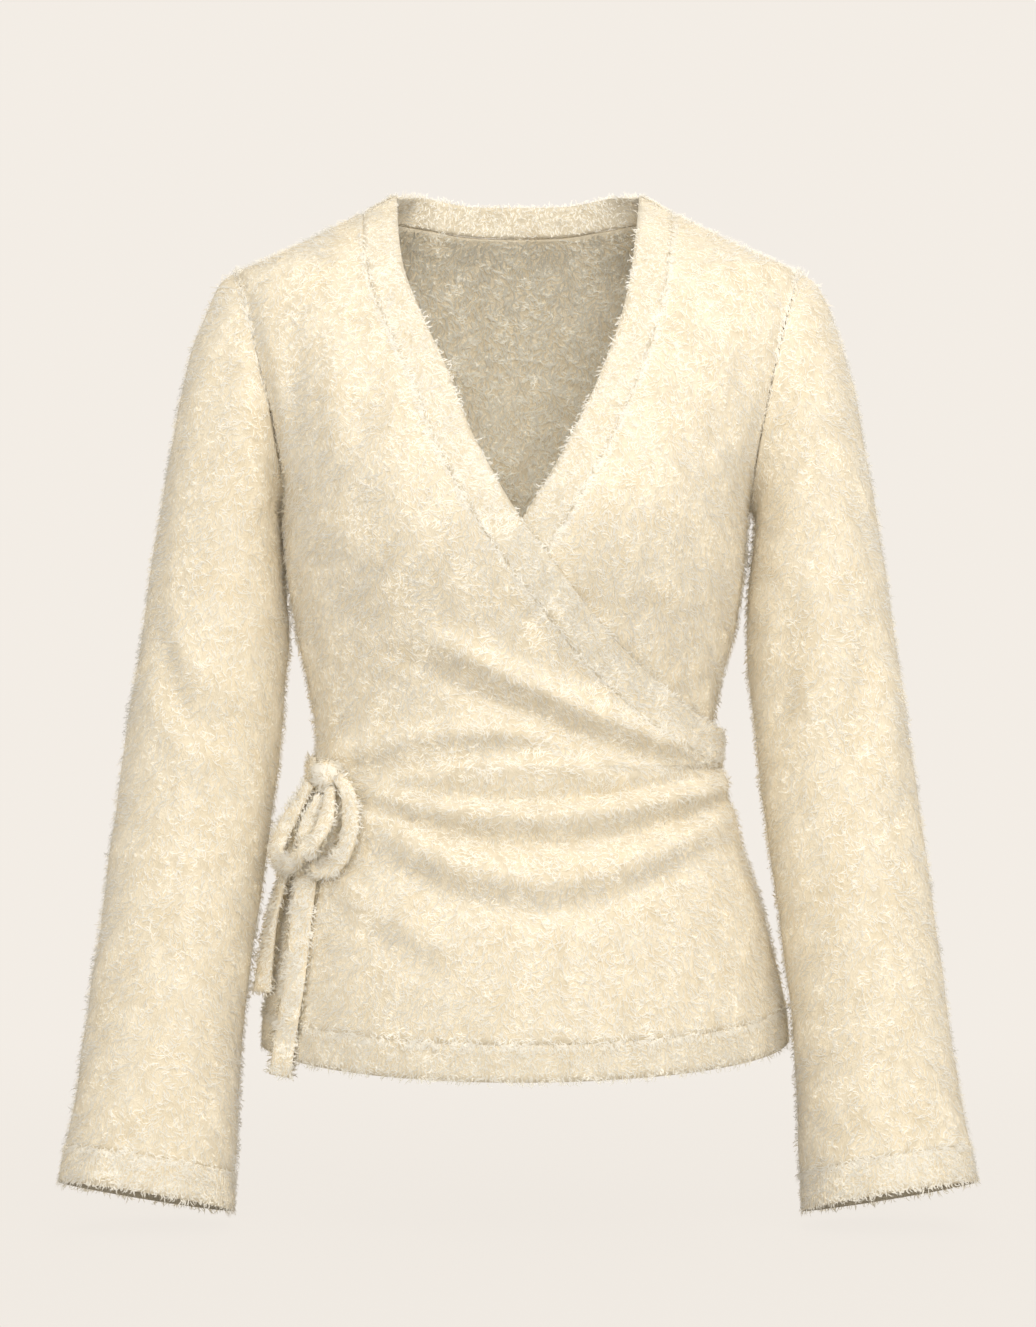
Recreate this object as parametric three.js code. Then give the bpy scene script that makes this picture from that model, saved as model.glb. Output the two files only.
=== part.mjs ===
// A wrap cardigan in long-pile knit, filled out as it is worn, with nobody in it.
// Millimetres, +Z up, the front faces -Y, and the wearer's left is +X.
// The origin lies between the two points where neck and shoulder meet, which is where it is held up.
// The wearer's right front laps over the left one. Its tie runs round the back of the waist and is
// knotted in a bow with the under front's tie, which comes out through the side seam.
import * as THREE from 'three';

// ---- Driving dimensions ----
const WALL = 2.4; // thickness of the knit without its pile
const SEAM = 0.4; // gap between two pieces at a seam
const LAP = 4.8; // how far the over front stands outside the under front
const LAP_FROM = { s: -0.86, z: -175 }; // it stands off fully past these, from side seam and shoulder
const SIDE_Y = 5; // where side seams, shoulder seams and sleeve tops lie, front to back
const SHOULDER = { x: 183, z: -50 }; // top of the armhole
const ARMPIT = { x: 150, z: -205 }; // bottom of the armhole
// The armhole's depth before and behind SIDE_Y, how far it is cut in towards the chest and the
// shoulder blade, how far it bares the side, in degrees, and how full its curve is.
const ARMHOLE = { front: 46, back: 48, inFront: 5, inBack: 9, turn: 24, curve: 1.5 };
const NECK_POINT = 80; // half the width of the neck where it meets the shoulder line
const SHOULDER_CURVE = 1.12; // 1 is a straight shoulder line
const BAND = 23; // width of the ribbed bands at neck and hem
const NECK_SEAM = { x: 100, z: -11.8 }; // where the band seam crosses the shoulder line
const WAIST_TIE = { top: -354, height: 20 }; // the over front's tie where it leaves the front
const TIE = { width: 18, thick: 3 };
const CUFF = 26;
const HEM = { side: -548, frontDip: 17 };
const LOWEST_LEVEL_ROW = -470; // below this the rows of a panel bend to meet the hem seam

// Half widths and depths of the body below the armpit, and depths above it, level by level.
const TORSO = [
  { z: 0, right: 80, left: 80, front: 8, back: 14 },
  { z: -12, right: 100, left: 100, front: 30, back: 46 },
  { z: -26, right: 128, left: 128, front: 45, back: 63 },
  { z: -50, right: 183, left: 183, front: 62, back: 77 },
  { z: -80, right: 177, left: 177, front: 78, back: 88 },
  { z: -115, right: 169, left: 169, front: 93, back: 96 },
  { z: -160, right: 160, left: 160, front: 108, back: 100 },
  { z: -205, right: 150, left: 150, front: 117, back: 98 },
  { z: -244, right: 147, left: 147, front: 113, back: 91 },
  { z: -283, right: 141, left: 141, front: 101, back: 82 },
  { z: -322, right: 131, left: 131, front: 88, back: 74 },
  { z: -355, right: 125, left: 125, front: 81, back: 71 },
  { z: -385, right: 126, left: 127, front: 81, back: 74 },
  { z: -419, right: 136, left: 136, front: 86, back: 84 },
  { z: -458, right: 151, left: 149, front: 96, back: 98 },
  { z: -497, right: 162, left: 158, front: 104, back: 110 },
  { z: -536, right: 170, left: 163, front: 109, back: 116 },
  { z: -572, right: 172, left: 164, front: 111, back: 117 },
];
const BUST = { x: 74, z: -208, depth: 11, wide: 48, tall: 52 }; // cup fullness of a general figure

// Seams of the neck bands on the fronts, from the shoulder down to the far side of the waist.
const OVER_SEAM = [
  { z: -11.8, x: -100 },
  { z: -42, x: -98 },
  { z: -68, x: -92 },
  { z: -100, x: -79 },
  { z: -131, x: -65 },
  { z: -166, x: -52 },
  { z: -194, x: -38 },
  { z: -222, x: -21 },
  { z: -260, x: 8 },
  { z: -300, x: 39 },
  { z: -335, x: 73 },
  { z: -358, x: 100 },
  { z: -374, x: 126 },
];
const UNDER_SEAM = [
  { z: -11.8, x: 100 },
  { z: -42, x: 97 },
  { z: -70, x: 92.5 },
  { z: -100, x: 84.5 },
  { z: -131, x: 73 },
  { z: -162, x: 59 },
  { z: -190, x: 44.5 },
  { z: -222, x: 25 },
  { z: -260, x: 0 },
  { z: -300, x: -32 },
  { z: -335, x: -70 },
  { z: -358, x: -98 },
  { z: -374, x: -119 },
];
// The back neck seam, and the top of its band, from the middle out to the shoulder line.
const BACK_NECK = [
  { x: 0, seam: -22.5, top: -2.5 },
  { x: 32, seam: -21.5, top: -2 },
  { x: 55, seam: -18.5, top: 1 },
  { x: 76, seam: -15.5, top: 2 },
  { x: 100, seam: -11.8, top: -0.6 },
];

// Sleeve rings from armhole to cuff: outermost and innermost points, middle and depths front to
// back, and how far the ring leans forward, in degrees.
const SLEEVE = [
  { xOut: 183, zOut: -50, xIn: 150, zIn: -205, y: 5, front: 46, back: 48, lean: 0 },
  { xOut: 194, zOut: -58, xIn: 152.5, zIn: -208, y: 5, front: 48, back: 50, lean: 0 },
  { xOut: 203, zOut: -76, xIn: 153.5, zIn: -212, y: 5, front: 50, back: 51, lean: 0 },
  { xOut: 211, zOut: -100, xIn: 153.5, zIn: -217, y: 4, front: 51, back: 52, lean: 0 },
  { xOut: 219, zOut: -130, xIn: 153, zIn: -223, y: 4, front: 51, back: 52, lean: 0 },
  { xOut: 225, zOut: -165, xIn: 152.3, zIn: -231, y: 3, front: 51, back: 52, lean: 1 },
  { xOut: 232, zOut: -203, xIn: 151, zIn: -243, y: 2, front: 50, back: 50, lean: 2 },
  { xOut: 238, zOut: -242, xIn: 149.5, zIn: -262, y: 1, front: 49, back: 49, lean: 3 },
  { xOut: 243, zOut: -280, xIn: 149, zIn: -291, y: -1, front: 48, back: 48, lean: 4 },
  { xOut: 249, zOut: -318, xIn: 152, zIn: -330, y: -4, front: 48, back: 48, lean: 6 },
  { xOut: 254, zOut: -356, xIn: 155.5, zIn: -369, y: -8, front: 48, back: 48, lean: 7 },
  { xOut: 259, zOut: -396, xIn: 160, zIn: -409, y: -13, front: 47, back: 47, lean: 8 },
  { xOut: 264, zOut: -436, xIn: 165.5, zIn: -450, y: -19, front: 47, back: 47, lean: 9 },
  { xOut: 269, zOut: -476, xIn: 171, zIn: -490, y: -25, front: 47, back: 47, lean: 10 },
  { xOut: 274, zOut: -516, xIn: 175.5, zIn: -530, y: -32, front: 46, back: 46, lean: 11 },
  { xOut: 279, zOut: -556, xIn: 178, zIn: -571, y: -40, front: 45, back: 45, lean: 11 },
  { xOut: 284.5, zOut: -594, xIn: 179, zIn: -610, y: -48, front: 45, back: 45, lean: 11 },
  { xOut: 288, zOut: -612, xIn: 180, zIn: -629, y: -52, front: 45, back: 45, lean: 11 },
  { xOut: 292, zOut: -634, xIn: 180.5, zIn: -652, y: -57, front: 45, back: 45, lean: 11 },
];
const CUFF_ROW = SLEEVE.length - 2; // the ring at which the sleeve ends and its cuff begins

// Folds: a ridge (height over 0) or trough from a to c past b, and its half width. On the front the
// places are x, z. The cloth is gathered towards its tie, so they run together at the wearer's left.
const FRONT_LIFT = { z: -385, tall: 78, height: 6.5 }; // bulk of the gathered cloth at the waist
const FRONT_FOLDS = [
  { a: [-62, -278], b: [12, -318], c: [112, -362], height: 7, half: 8 },
  { a: [-78, -296], b: [12, -342], c: [98, -371], height: -5, half: 7 },
  { a: [-116, -366], b: [-32, -332], c: [24, -350], height: 5, half: 7 },
  { a: [-108, -371], b: [-62, -373], c: [-20, -361], height: -3, half: 5 },
  { a: [-56, -375], b: [0, -366], c: [52, -372], height: 3.5, half: 5 },
  { a: [-98, -376], b: [4, -408], c: [127, -371], height: -6, half: 5 },
  { a: [-98, -383], b: [8, -420], c: [131, -380], height: 6.5, half: 8 },
  { a: [-98, -389], b: [2, -446], c: [127, -394], height: -7, half: 6 },
  { a: [-98, -398], b: [10, -482], c: [127, -402], height: 6.5, half: 13 },
  { a: [-99, -414], b: [8, -500], c: [118, -420], height: -4.5, half: 10 },
  { a: [-116, -440], b: [-80, -468], c: [-36, -486], height: 2.5, half: 9 },
  { a: [-118, -452], b: [-94, -478], c: [-42, -498], height: -2, half: 9 },
  { a: [-116, -85], b: [-117, -125], c: [-108, -170], height: 2.5, half: 10 },
  { a: [-140, -95], b: [-143, -125], c: [-136, -165], height: -2.5, half: 9 },
];
// On a sleeve the places are degrees round from the outside, front first, and z.
const SLEEVE_FOLDS = {
  left: [
    { a: [56, -282], b: [64, -330], c: [92, -372], height: -4, half: 9 },
    { a: [84, -235], b: [90, -290], c: [108, -345], height: 3.5, half: 12 },
    { a: [40, -300], b: [42, -345], c: [60, -395], height: 2.5, half: 11 },
    { a: [112, -245], b: [124, -300], c: [136, -350], height: -2.5, half: 9 },
    { a: [250, -290], b: [268, -335], c: [300, -352], height: -3.5, half: 9 },
    { a: [245, -315], b: [262, -362], c: [295, -380], height: 3, half: 10 },
  ],
  right: [
    { a: [80, -112], b: [112, -160], c: [136, -212], height: 4, half: 12 },
    { a: [58, -100], b: [68, -150], c: [74, -200], height: -3, half: 12 },
    { a: [55, -292], b: [66, -336], c: [102, -350], height: -4, half: 8 },
    { a: [58, -275], b: [78, -314], c: [122, -332], height: 3, half: 9 },
    { a: [50, -318], b: [72, -360], c: [112, -372], height: 3, half: 9 },
    { a: [238, -300], b: [262, -338], c: [300, -346], height: -3.5, half: 9 },
    { a: [240, -325], b: [258, -366], c: [292, -384], height: 3, half: 10 },
  ],
};

// The bow: its straps as curves through a few places, each with the way its width points. The
// loops hang from the knot one before the other, and the tails fall behind them.
const KNOT = { at: [-122, -52.4, -376], long: 22, deep: 15, tall: 20, turn: -52 };
const LOOP = { width: 15, thick: 3.2 };
const LOOP_OUTER = [
  { at: [-119, -63, -384], across: [0.8, -0.5, 0.2] },
  { at: [-120, -72, -397], across: [0.8, -0.5, 0.2] },
  { at: [-123, -78, -408], across: [0.8, -0.4, 0.3] },
  { at: [-131, -79, -420], across: [0.7, -0.4, 0.5] },
  { at: [-140, -70, -429], across: [0.5, -0.6, 0.6] },
  { at: [-147, -60, -432], across: [0.4, -0.8, 0.3] },
  { at: [-153, -49, -427], across: [0.5, -0.8, 0] },
  { at: [-153, -43, -419], across: [0.6, -0.7, -0.2] },
  { at: [-148, -44, -408], across: [0.7, -0.6, -0.3] },
  { at: [-141, -46, -396], across: [0.7, -0.6, -0.4] },
  { at: [-132.5, -53, -381], across: [0.7, -0.6, -0.4] },
];
const LOOP_INNER = [
  { at: [-114, -64, -377], across: [0.4, -0.3, 0.8] },
  { at: [-108, -70, -385], across: [0.8, -0.5, 0.2] },
  { at: [-106, -73, -398], across: [0.8, -0.5, 0] },
  { at: [-106.5, -75, -412], across: [0.8, -0.5, -0.1] },
  { at: [-111, -75, -425], across: [0.8, -0.5, -0.3] },
  { at: [-118, -72, -433], across: [0.6, -0.5, -0.6] },
  { at: [-126, -67, -435], across: [0.3, -0.9, -0.3] },
  { at: [-132, -60, -430], across: [0.6, -0.7, 0.2] },
  { at: [-135, -55, -421], across: [0.8, -0.5, 0.2] },
  { at: [-134, -54, -409], across: [0.8, -0.5, 0.2] },
  { at: [-129, -55, -397], across: [0.8, -0.5, 0.2] },
  { at: [-125.5, -56, -388], across: [0.8, -0.5, 0.2] },
];
const TAIL_FRONT = [
  { at: [-124, -49, -388], across: [0.8, -0.6, 0] },
  { at: [-125.5, -47.5, -399], across: [0.8, -0.6, 0] },
  { at: [-128, -47, -412], across: [0.8, -0.6, 0] },
  { at: [-132, -50, -430], across: [0.9, -0.5, 0] },
  { at: [-135, -56, -446], across: [0.9, -0.4, 0] },
  { at: [-138, -59, -470], across: [0.9, -0.4, 0] },
  { at: [-140, -61, -490], across: [0.9, -0.4, 0] },
  { at: [-142, -63, -508], across: [0.9, -0.4, 0.1] },
  { at: [-145, -63, -526], across: [0.9, -0.4, 0.1] },
  { at: [-148, -62, -545], across: [0.9, -0.4, 0.2] },
  { at: [-151, -61, -566], across: [0.9, -0.3, 0.2] },
];
const TAIL_BACK = [
  { at: [-136.2, -37, -387.5], across: [0.3, -0.9, 0.1] },
  { at: [-140, -31, -402], across: [0.3, -0.9, 0.1] },
  { at: [-144, -30, -418], across: [0.3, -0.9, 0.1] },
  { at: [-150, -31, -440], across: [0.3, -0.9, 0.1] },
  { at: [-157, -32, -466], across: [0.4, -0.9, 0.1] },
  { at: [-161, -34, -490], across: [0.6, -0.8, 0.2] },
  { at: [-164, -37, -515], across: [0.8, -0.6, 0.3] },
];
// The under front's tie outside the side seam, between two turns counted from the front middle.
const UNDER_TIE = { width: 12, from: -86, to: -64, z: -391 };

// ---- Small helpers ----
const clamp = (value, low, high) => Math.min(high, Math.max(low, value));
const lerp = (from, to, t) => from + (to - from) * t;
const smooth = (from, to, value) => {
  const t = clamp((value - from) / (to - from), 0, 1);
  return t * t * (3 - 2 * t);
};
const degrees = (angle) => (angle * Math.PI) / 180;

// A smooth curve through a table's column, read at a value of its key column, in either order.
function through(table, key, column) {
  const rows = [...table].sort((one, other) => one[key] - other[key]);
  const slope = (i) => {
    const low = rows[Math.max(0, i - 1)];
    const high = rows[Math.min(rows.length - 1, i + 1)];
    return (high[column] - low[column]) / (high[key] - low[key]);
  };
  return (value) => {
    let i = 0;
    while (i < rows.length - 2 && rows[i + 1][key] < value) i += 1;
    const span = rows[i + 1][key] - rows[i][key];
    const t = clamp((value - rows[i][key]) / span, -1, 2);
    const rise = slope(i) * span;
    const fall = slope(i + 1) * span;
    if (t < 0) return rows[i][column] + rise * t;
    if (t > 1) return rows[i + 1][column] + fall * (t - 1);
    const [a, b] = [rows[i][column], rows[i + 1][column]];
    return a + t * (rise + t * (3 * (b - a) - 2 * rise - fall + t * (2 * (a - b) + rise + fall)));
  };
}

// How high the folds of a table stand at a place. Each is a curve from a to c, bent towards b.
const FOLD_STEPS = 16;
function foldHeight(folds, u, v) {
  let total = 0;
  for (const { a, b, c, height, half } of folds) {
    let nearest = Infinity;
    let along = 0;
    for (let i = 0; i <= FOLD_STEPS; i += 1) {
      const t = i / FOLD_STEPS;
      const pu = (1 - t) ** 2 * a[0] + 2 * t * (1 - t) * b[0] + t * t * c[0];
      const pv = (1 - t) ** 2 * a[1] + 2 * t * (1 - t) * b[1] + t * t * c[1];
      const distance = Math.hypot(u - pu, v - pv);
      if (distance < nearest) {
        nearest = distance;
        along = t;
      }
    }
    const ends = smooth(0, 0.22, along) * smooth(1, 0.86, along);
    total += height * (0.25 + 0.75 * ends) * Math.exp(-((nearest / half) ** 2));
  }
  return total;
}

// ---- The body ----
const frontDepth = through(TORSO, 'z', 'front');
const backDepth = through(TORSO, 'z', 'back');
const halfRight = through(TORSO, 'z', 'right');
const halfLeft = through(TORSO, 'z', 'left');
const bandTop = through(BACK_NECK, 'x', 'top');
const backNeckSeam = through(BACK_NECK, 'x', 'seam');

// Half the width of the body panels: the shoulder line, the armhole, then the side.
function halfWidth(z, side) {
  if (z > SHOULDER.z) {
    const drop = Math.max(0, z / SHOULDER.z);
    return NECK_POINT + (SHOULDER.x - NECK_POINT) * drop ** SHOULDER_CURVE;
  }
  if (z > ARMPIT.z) return lerp(ARMPIT.x, SHOULDER.x, (z - ARMPIT.z) / (SHOULDER.z - ARMPIT.z));
  return side < 0 ? halfLeft(z) : halfRight(z);
}

// 0 outside the armhole and 1 at its middle, along the ellipse that the armhole is from the side.
function armholeBulge(z) {
  const middle = (SHOULDER.z + ARMPIT.z) / 2;
  const reach = (SHOULDER.z - ARMPIT.z) / 2;
  return Math.max(0, 1 - ((z - middle) / reach) ** 2) ** (ARMHOLE.curve / 2);
}

const edgeAngle = (z) => degrees(90 - ARMHOLE.turn * armholeBulge(z));
const depthAt = (z, face) => (face < 0 ? frontDepth(z) : backDepth(z));

const edgeX = (z, side, face) => halfWidth(z, side)
  - (face < 0 ? ARMHOLE.inFront : ARMHOLE.inBack) * armholeBulge(z);

// A point of the body's outside. s runs from -1 at the wearer's right edge to 1 at the left one.
function torso(s, z, face) {
  const edge = edgeAngle(z);
  const angle = s * edge;
  const x = (edgeX(z, Math.sign(s), face) * Math.sin(angle)) / Math.sin(edge);
  const reach = face < 0 ? ARMHOLE.front : ARMHOLE.back;
  const edgeY = SIDE_Y + face * reach * armholeBulge(z);
  const round = (Math.cos(angle) - Math.cos(edge)) / (1 - Math.cos(edge));
  let y = edgeY + (face * depthAt(z, face) - edgeY) * round;
  if (face < 0) {
    const across = (Math.abs(x) - BUST.x) / BUST.wide;
    const up = (z - BUST.z) / BUST.tall;
    y -= BUST.depth * Math.exp(-(across ** 2) - up ** 2);
  }
  return new THREE.Vector3(x, y, z);
}

// The s at which the front, or the back, has this x.
function acrossAt(x, z, face = -1) {
  const edge = edgeAngle(z);
  return Math.asin(clamp((x * Math.sin(edge)) / edgeX(z, Math.sign(x), face), -1, 1)) / edge;
}

// How far in from the edge, in s, a panel stops to leave half a seam's gap.
const edgeGap = (z, face) => SEAM / 2 / (edgeAngle(z) * Math.max(20, depthAt(z, face)));

const hemAt = (s, face) => HEM.side - (face < 0 ? HEM.frontDip * Math.cos((s * Math.PI) / 2) : 0);

// The outward direction of a surface, from its own slopes.
const STEP = 0.002;
function normalOf(surface, u, v, outwards) {
  const du = surface(u + STEP, v).sub(surface(u - STEP, v));
  const dv = surface(u, v + STEP * 100).sub(surface(u, v - STEP * 100));
  const normal = du.cross(dv).normalize();
  return normal.dot(outwards(surface(u, v))) < 0 ? normal.negate() : normal;
}
const awayFromAxis = (p) => new THREE.Vector3(p.x, p.y, Math.max(0, p.z + 60));

// The over front's outside: it stands off the under front, with its bulk and folds at the waist.
function overFront(s, z) {
  const base = (a, b) => torso(a, b, -1);
  const point = base(s, z);
  const lapped = LAP * smooth(-1, LAP_FROM.s, s) * smooth(-20, LAP_FROM.z, z);
  const level = Math.exp(-(((z - FRONT_LIFT.z) / FRONT_LIFT.tall) ** 2));
  const inside = smooth(-1, -0.8, s) * smooth(1.02, 0.85, s);
  const lift = FRONT_LIFT.height * level * (0.35 + 0.65 * inside) * smooth(-1, -0.8, s);
  const fold = foldHeight(FRONT_FOLDS, point.x, point.z) * (0.4 + 0.6 * inside) * smooth(-1, -0.85, s);
  return point.addScaledVector(normalOf(base, s, z, awayFromAxis), lapped + lift + fold);
}
const underFront = (s, z) => torso(s, z, -1);
const back = (s, z) => torso(s, z, 1);

// ---- Walls ----
// A closed mesh from a grid of outer and inner points. Closed rings join their last column to the
// first. The faces are turned outwards by the sign of the volume.
function closedMesh(name, outer, inner, ring, material) {
  const rows = outer.length;
  const columns = outer[0].length;
  const points = [...outer.flat(), ...inner.flat()];
  const at = (i, j, side) => side * rows * columns + i * columns + (j % columns);
  const faces = [];
  const quad = (a, b, c, d) => faces.push([a, b, c], [a, c, d]);
  const spans = ring ? columns : columns - 1;
  for (let i = 0; i < rows - 1; i += 1) {
    for (let j = 0; j < spans; j += 1) {
      quad(at(i, j, 0), at(i, j + 1, 0), at(i + 1, j + 1, 0), at(i + 1, j, 0));
      quad(at(i, j, 1), at(i + 1, j, 1), at(i + 1, j + 1, 1), at(i, j + 1, 1));
    }
  }
  for (let j = 0; j < spans; j += 1) {
    quad(at(0, j, 0), at(0, j, 1), at(0, j + 1, 1), at(0, j + 1, 0));
    quad(at(rows - 1, j, 0), at(rows - 1, j + 1, 0), at(rows - 1, j + 1, 1), at(rows - 1, j, 1));
  }
  for (let i = 0; !ring && i < rows - 1; i += 1) {
    quad(at(i, 0, 0), at(i + 1, 0, 0), at(i + 1, 0, 1), at(i, 0, 1));
    quad(at(i, spans, 0), at(i, spans, 1), at(i + 1, spans, 1), at(i + 1, spans, 0));
  }
  let volume = 0;
  for (const [a, b, c] of faces) {
    volume += points[a].dot(new THREE.Vector3().crossVectors(points[b], points[c]));
  }
  const geometry = new THREE.BufferGeometry().setFromPoints(points);
  geometry.setIndex(faces.flatMap(([a, b, c]) => (volume < 0 ? [a, c, b] : [a, b, c])));
  geometry.computeVertexNormals();
  const mesh = new THREE.Mesh(geometry, material);
  mesh.name = name;
  return mesh;
}

// A wall on a surface, from a grid of [u, v] places. Its outside is the surface plus lift.
function clothWall(name, surface, places, material, { thick = WALL, lift = 0, ring = false } = {}) {
  const outwards = surface.outwards ?? awayFromAxis;
  const outer = [];
  const inner = [];
  for (const row of places) {
    const normals = row.map(([u, v]) => normalOf(surface, u, v, outwards));
    outer.push(row.map(([u, v], j) => surface(u, v).addScaledVector(normals[j], lift)));
    inner.push(row.map(([u, v], j) => surface(u, v).addScaledVector(normals[j], lift - thick)));
  }
  return closedMesh(name, outer, inner, ring, material);
}

// A strap along a curve through a table's places, flat, with its width across each one.
function strap(name, table, { width, thick }, steps, material, pinch = [0.6, 1]) {
  const path = new THREE.CatmullRomCurve3(table.map(({ at }) => new THREE.Vector3(...at)));
  const across = new THREE.CatmullRomCurve3(table.map((row) => new THREE.Vector3(...row.across)));
  const grid = [];
  for (let i = 0; i <= steps; i += 1) {
    const t = i / steps;
    const tangent = path.getTangent(t);
    const side = across.getPoint(t);
    side.addScaledVector(tangent, -side.dot(tangent)).normalize();
    const up = new THREE.Vector3().crossVectors(tangent, side);
    const pinched = Math.min(lerp(pinch[0], 1, smooth(0, 0.2, t)), lerp(pinch[1], 1, smooth(1, 0.8, t)));
    const corner = (a, b) => path.getPoint(t)
      .addScaledVector(side, (a * width * pinched) / 2)
      .addScaledVector(up, (b * thick) / 2);
    grid.push([
      [corner(-1, 1), corner(0, 1.3), corner(1, 1)],
      [corner(-1, -1), corner(0, -1.3), corner(1, -1)],
    ]);
  }
  return closedMesh(name, grid.map((row) => row[0]), grid.map((row) => row[1]), false, material);
}

// ---- Materials ----
const knitMaterial = (color, roughness = 0.95) => new THREE.MeshStandardMaterial({
  color,
  roughness,
  metalness: 0,
  side: THREE.DoubleSide,
});
const PILE = knitMaterial(0xf3e7c9);
const RIB = knitMaterial(0xefe2c2);
const STRAP = knitMaterial(0xf5ebd0);

// ---- Rows and columns of the panels ----
// Levels that the panels share, so that their seams meet point by point.
const ARMHOLE_STEPS = 9;
const armholeLevels = Array.from({ length: ARMHOLE_STEPS + 1 }, (_, i) => {
  const turn = (i / ARMHOLE_STEPS) * Math.PI;
  return lerp(ARMPIT.z, SHOULDER.z, (1 - Math.cos(turn)) / 2);
}).reverse();
const shoulderLevels = [-26, -38];
const chestLevels = [-228, -250, -272];
const coarseWaist = [-296, -320, -345, -374, -400, -428, LOWEST_LEVEL_ROW];
const fineWaist = [-290, -306, -320, -333, -345, -356, -366, -375, -383, -391, -399, -408, -418, -430,
  -446, LOWEST_LEVEL_ROW];

// Rows of [s, z] places from the hem seam up: the levels given, then rows that bend to the hem.
function panelRows(levels, lowRows, columns, leftEdge, rightEdge, face) {
  const rows = levels.map((z) => {
    const [from, to] = [leftEdge(z), rightEdge(z)];
    return columns.map((part) => [lerp(from, to, part), z]);
  });
  for (let i = 1; i <= lowRows; i += 1) {
    rows.push(rows[levels.length - 1].map(([s]) => {
      const seam = hemAt(s, face) + BAND + SEAM;
      return [s, lerp(LOWEST_LEVEL_ROW, seam, i / lowRows)];
    }));
  }
  return rows;
}

const evenly = (columns) => Array.from({ length: columns + 1 }, (_, j) => j / columns);

// The hem band carries on below a panel's last row.
function hemRows(lastRow, face) {
  return [0, 0.5, 1].map((part) => lastRow.map(([s]) => [s, hemAt(s, face) + BAND * (1 - part)]));
}

// ---- Fronts ----
const overSeamX = through(OVER_SEAM, 'z', 'x');
const underSeamX = through(UNDER_SEAM, 'z', 'x');
const SEAM_END = OVER_SEAM.at(-1).z;
const OVER_END = 0.975; // s at which the over front stops, short of the far side seam
const UNDER_END = -0.84; // and the under front, inside it
const OVER_COLUMNS = [0, 0.04, ...evenly(12).slice(1)]; // one close to the side, where the lap begins
const BAND_SEAM_GAP = 0.5;

const overLeft = (z) => -1 + edgeGap(z, -1);
const bandGap = (z) => BAND_SEAM_GAP + 1.2 * smooth(-32, -16, z);
const overRight = (z) => Math.min(OVER_END, z > SEAM_END ? acrossAt(overSeamX(z) - bandGap(z), z) : 1);
const underRight = (z) => 1 - edgeGap(z, -1);
const underLeft = (z) => (z > SEAM_END ? acrossAt(underSeamX(z) + bandGap(z), z) : UNDER_END);
const frontTop = [-16, ...shoulderLevels, ...armholeLevels, ...chestLevels];

// A neck band along its seam: rows of [s, z], from the seam to the free edge, side to side.
function neckBand(seamX, direction, levels, columns) {
  return levels.map((z) => {
    const slope = (seamX(z + 1) - seamX(z - 1)) / 2;
    const length = Math.hypot(slope, 1);
    // Near the shoulder the band's end lies along the shoulder line, not square to its seam.
    const top = smooth(-45, NECK_SEAM.z, z);
    const [dx, dz] = [lerp((direction * 1) / length, direction * 0.91, top),
      lerp((-direction * slope) / length, 0.5, top)];
    return Array.from({ length: columns + 1 }, (_, j) => {
      const reach = (j / columns) * BAND;
      const [x, level] = [seamX(z) + dx * reach, Math.min(-0.6, z + dz * reach)];
      return [Math.min(OVER_END, acrossAt(x, level)), level];
    });
  });
}

function overPieces() {
  const rows = panelRows([...frontTop, ...fineWaist], 4, OVER_COLUMNS, overLeft, overRight, -1);
  const bandLevels = [NECK_SEAM.z, -25, ...armholeLevels, ...chestLevels,
    ...fineWaist.filter((z) => z > SEAM_END), SEAM_END + 4, SEAM_END + 1];
  const band = neckBand(overSeamX, 1, bandLevels, 2);
  return [
    clothWall('front_over', overFront, rows, PILE),
    clothWall('hem_over', overFront, hemRows(rows.at(-1), -1), RIB),
    clothWall('neck_band_over', overFront, band, RIB, { lift: 0.3 }),
  ];
}

function underPieces() {
  const rows = panelRows([...frontTop, ...coarseWaist], 3, evenly(10), underLeft, underRight, -1);
  const bandLevels = [NECK_SEAM.z, -25, ...armholeLevels, ...chestLevels,
    ...coarseWaist.filter((z) => z > SEAM_END)];
  const band = neckBand(underSeamX, -1, bandLevels, 2);
  return [
    clothWall('front_under', underFront, rows, PILE),
    clothWall('hem_under', underFront, hemRows(rows.at(-1), -1), RIB),
    clothWall('neck_band_under', underFront, band, RIB),
  ];
}

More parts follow.
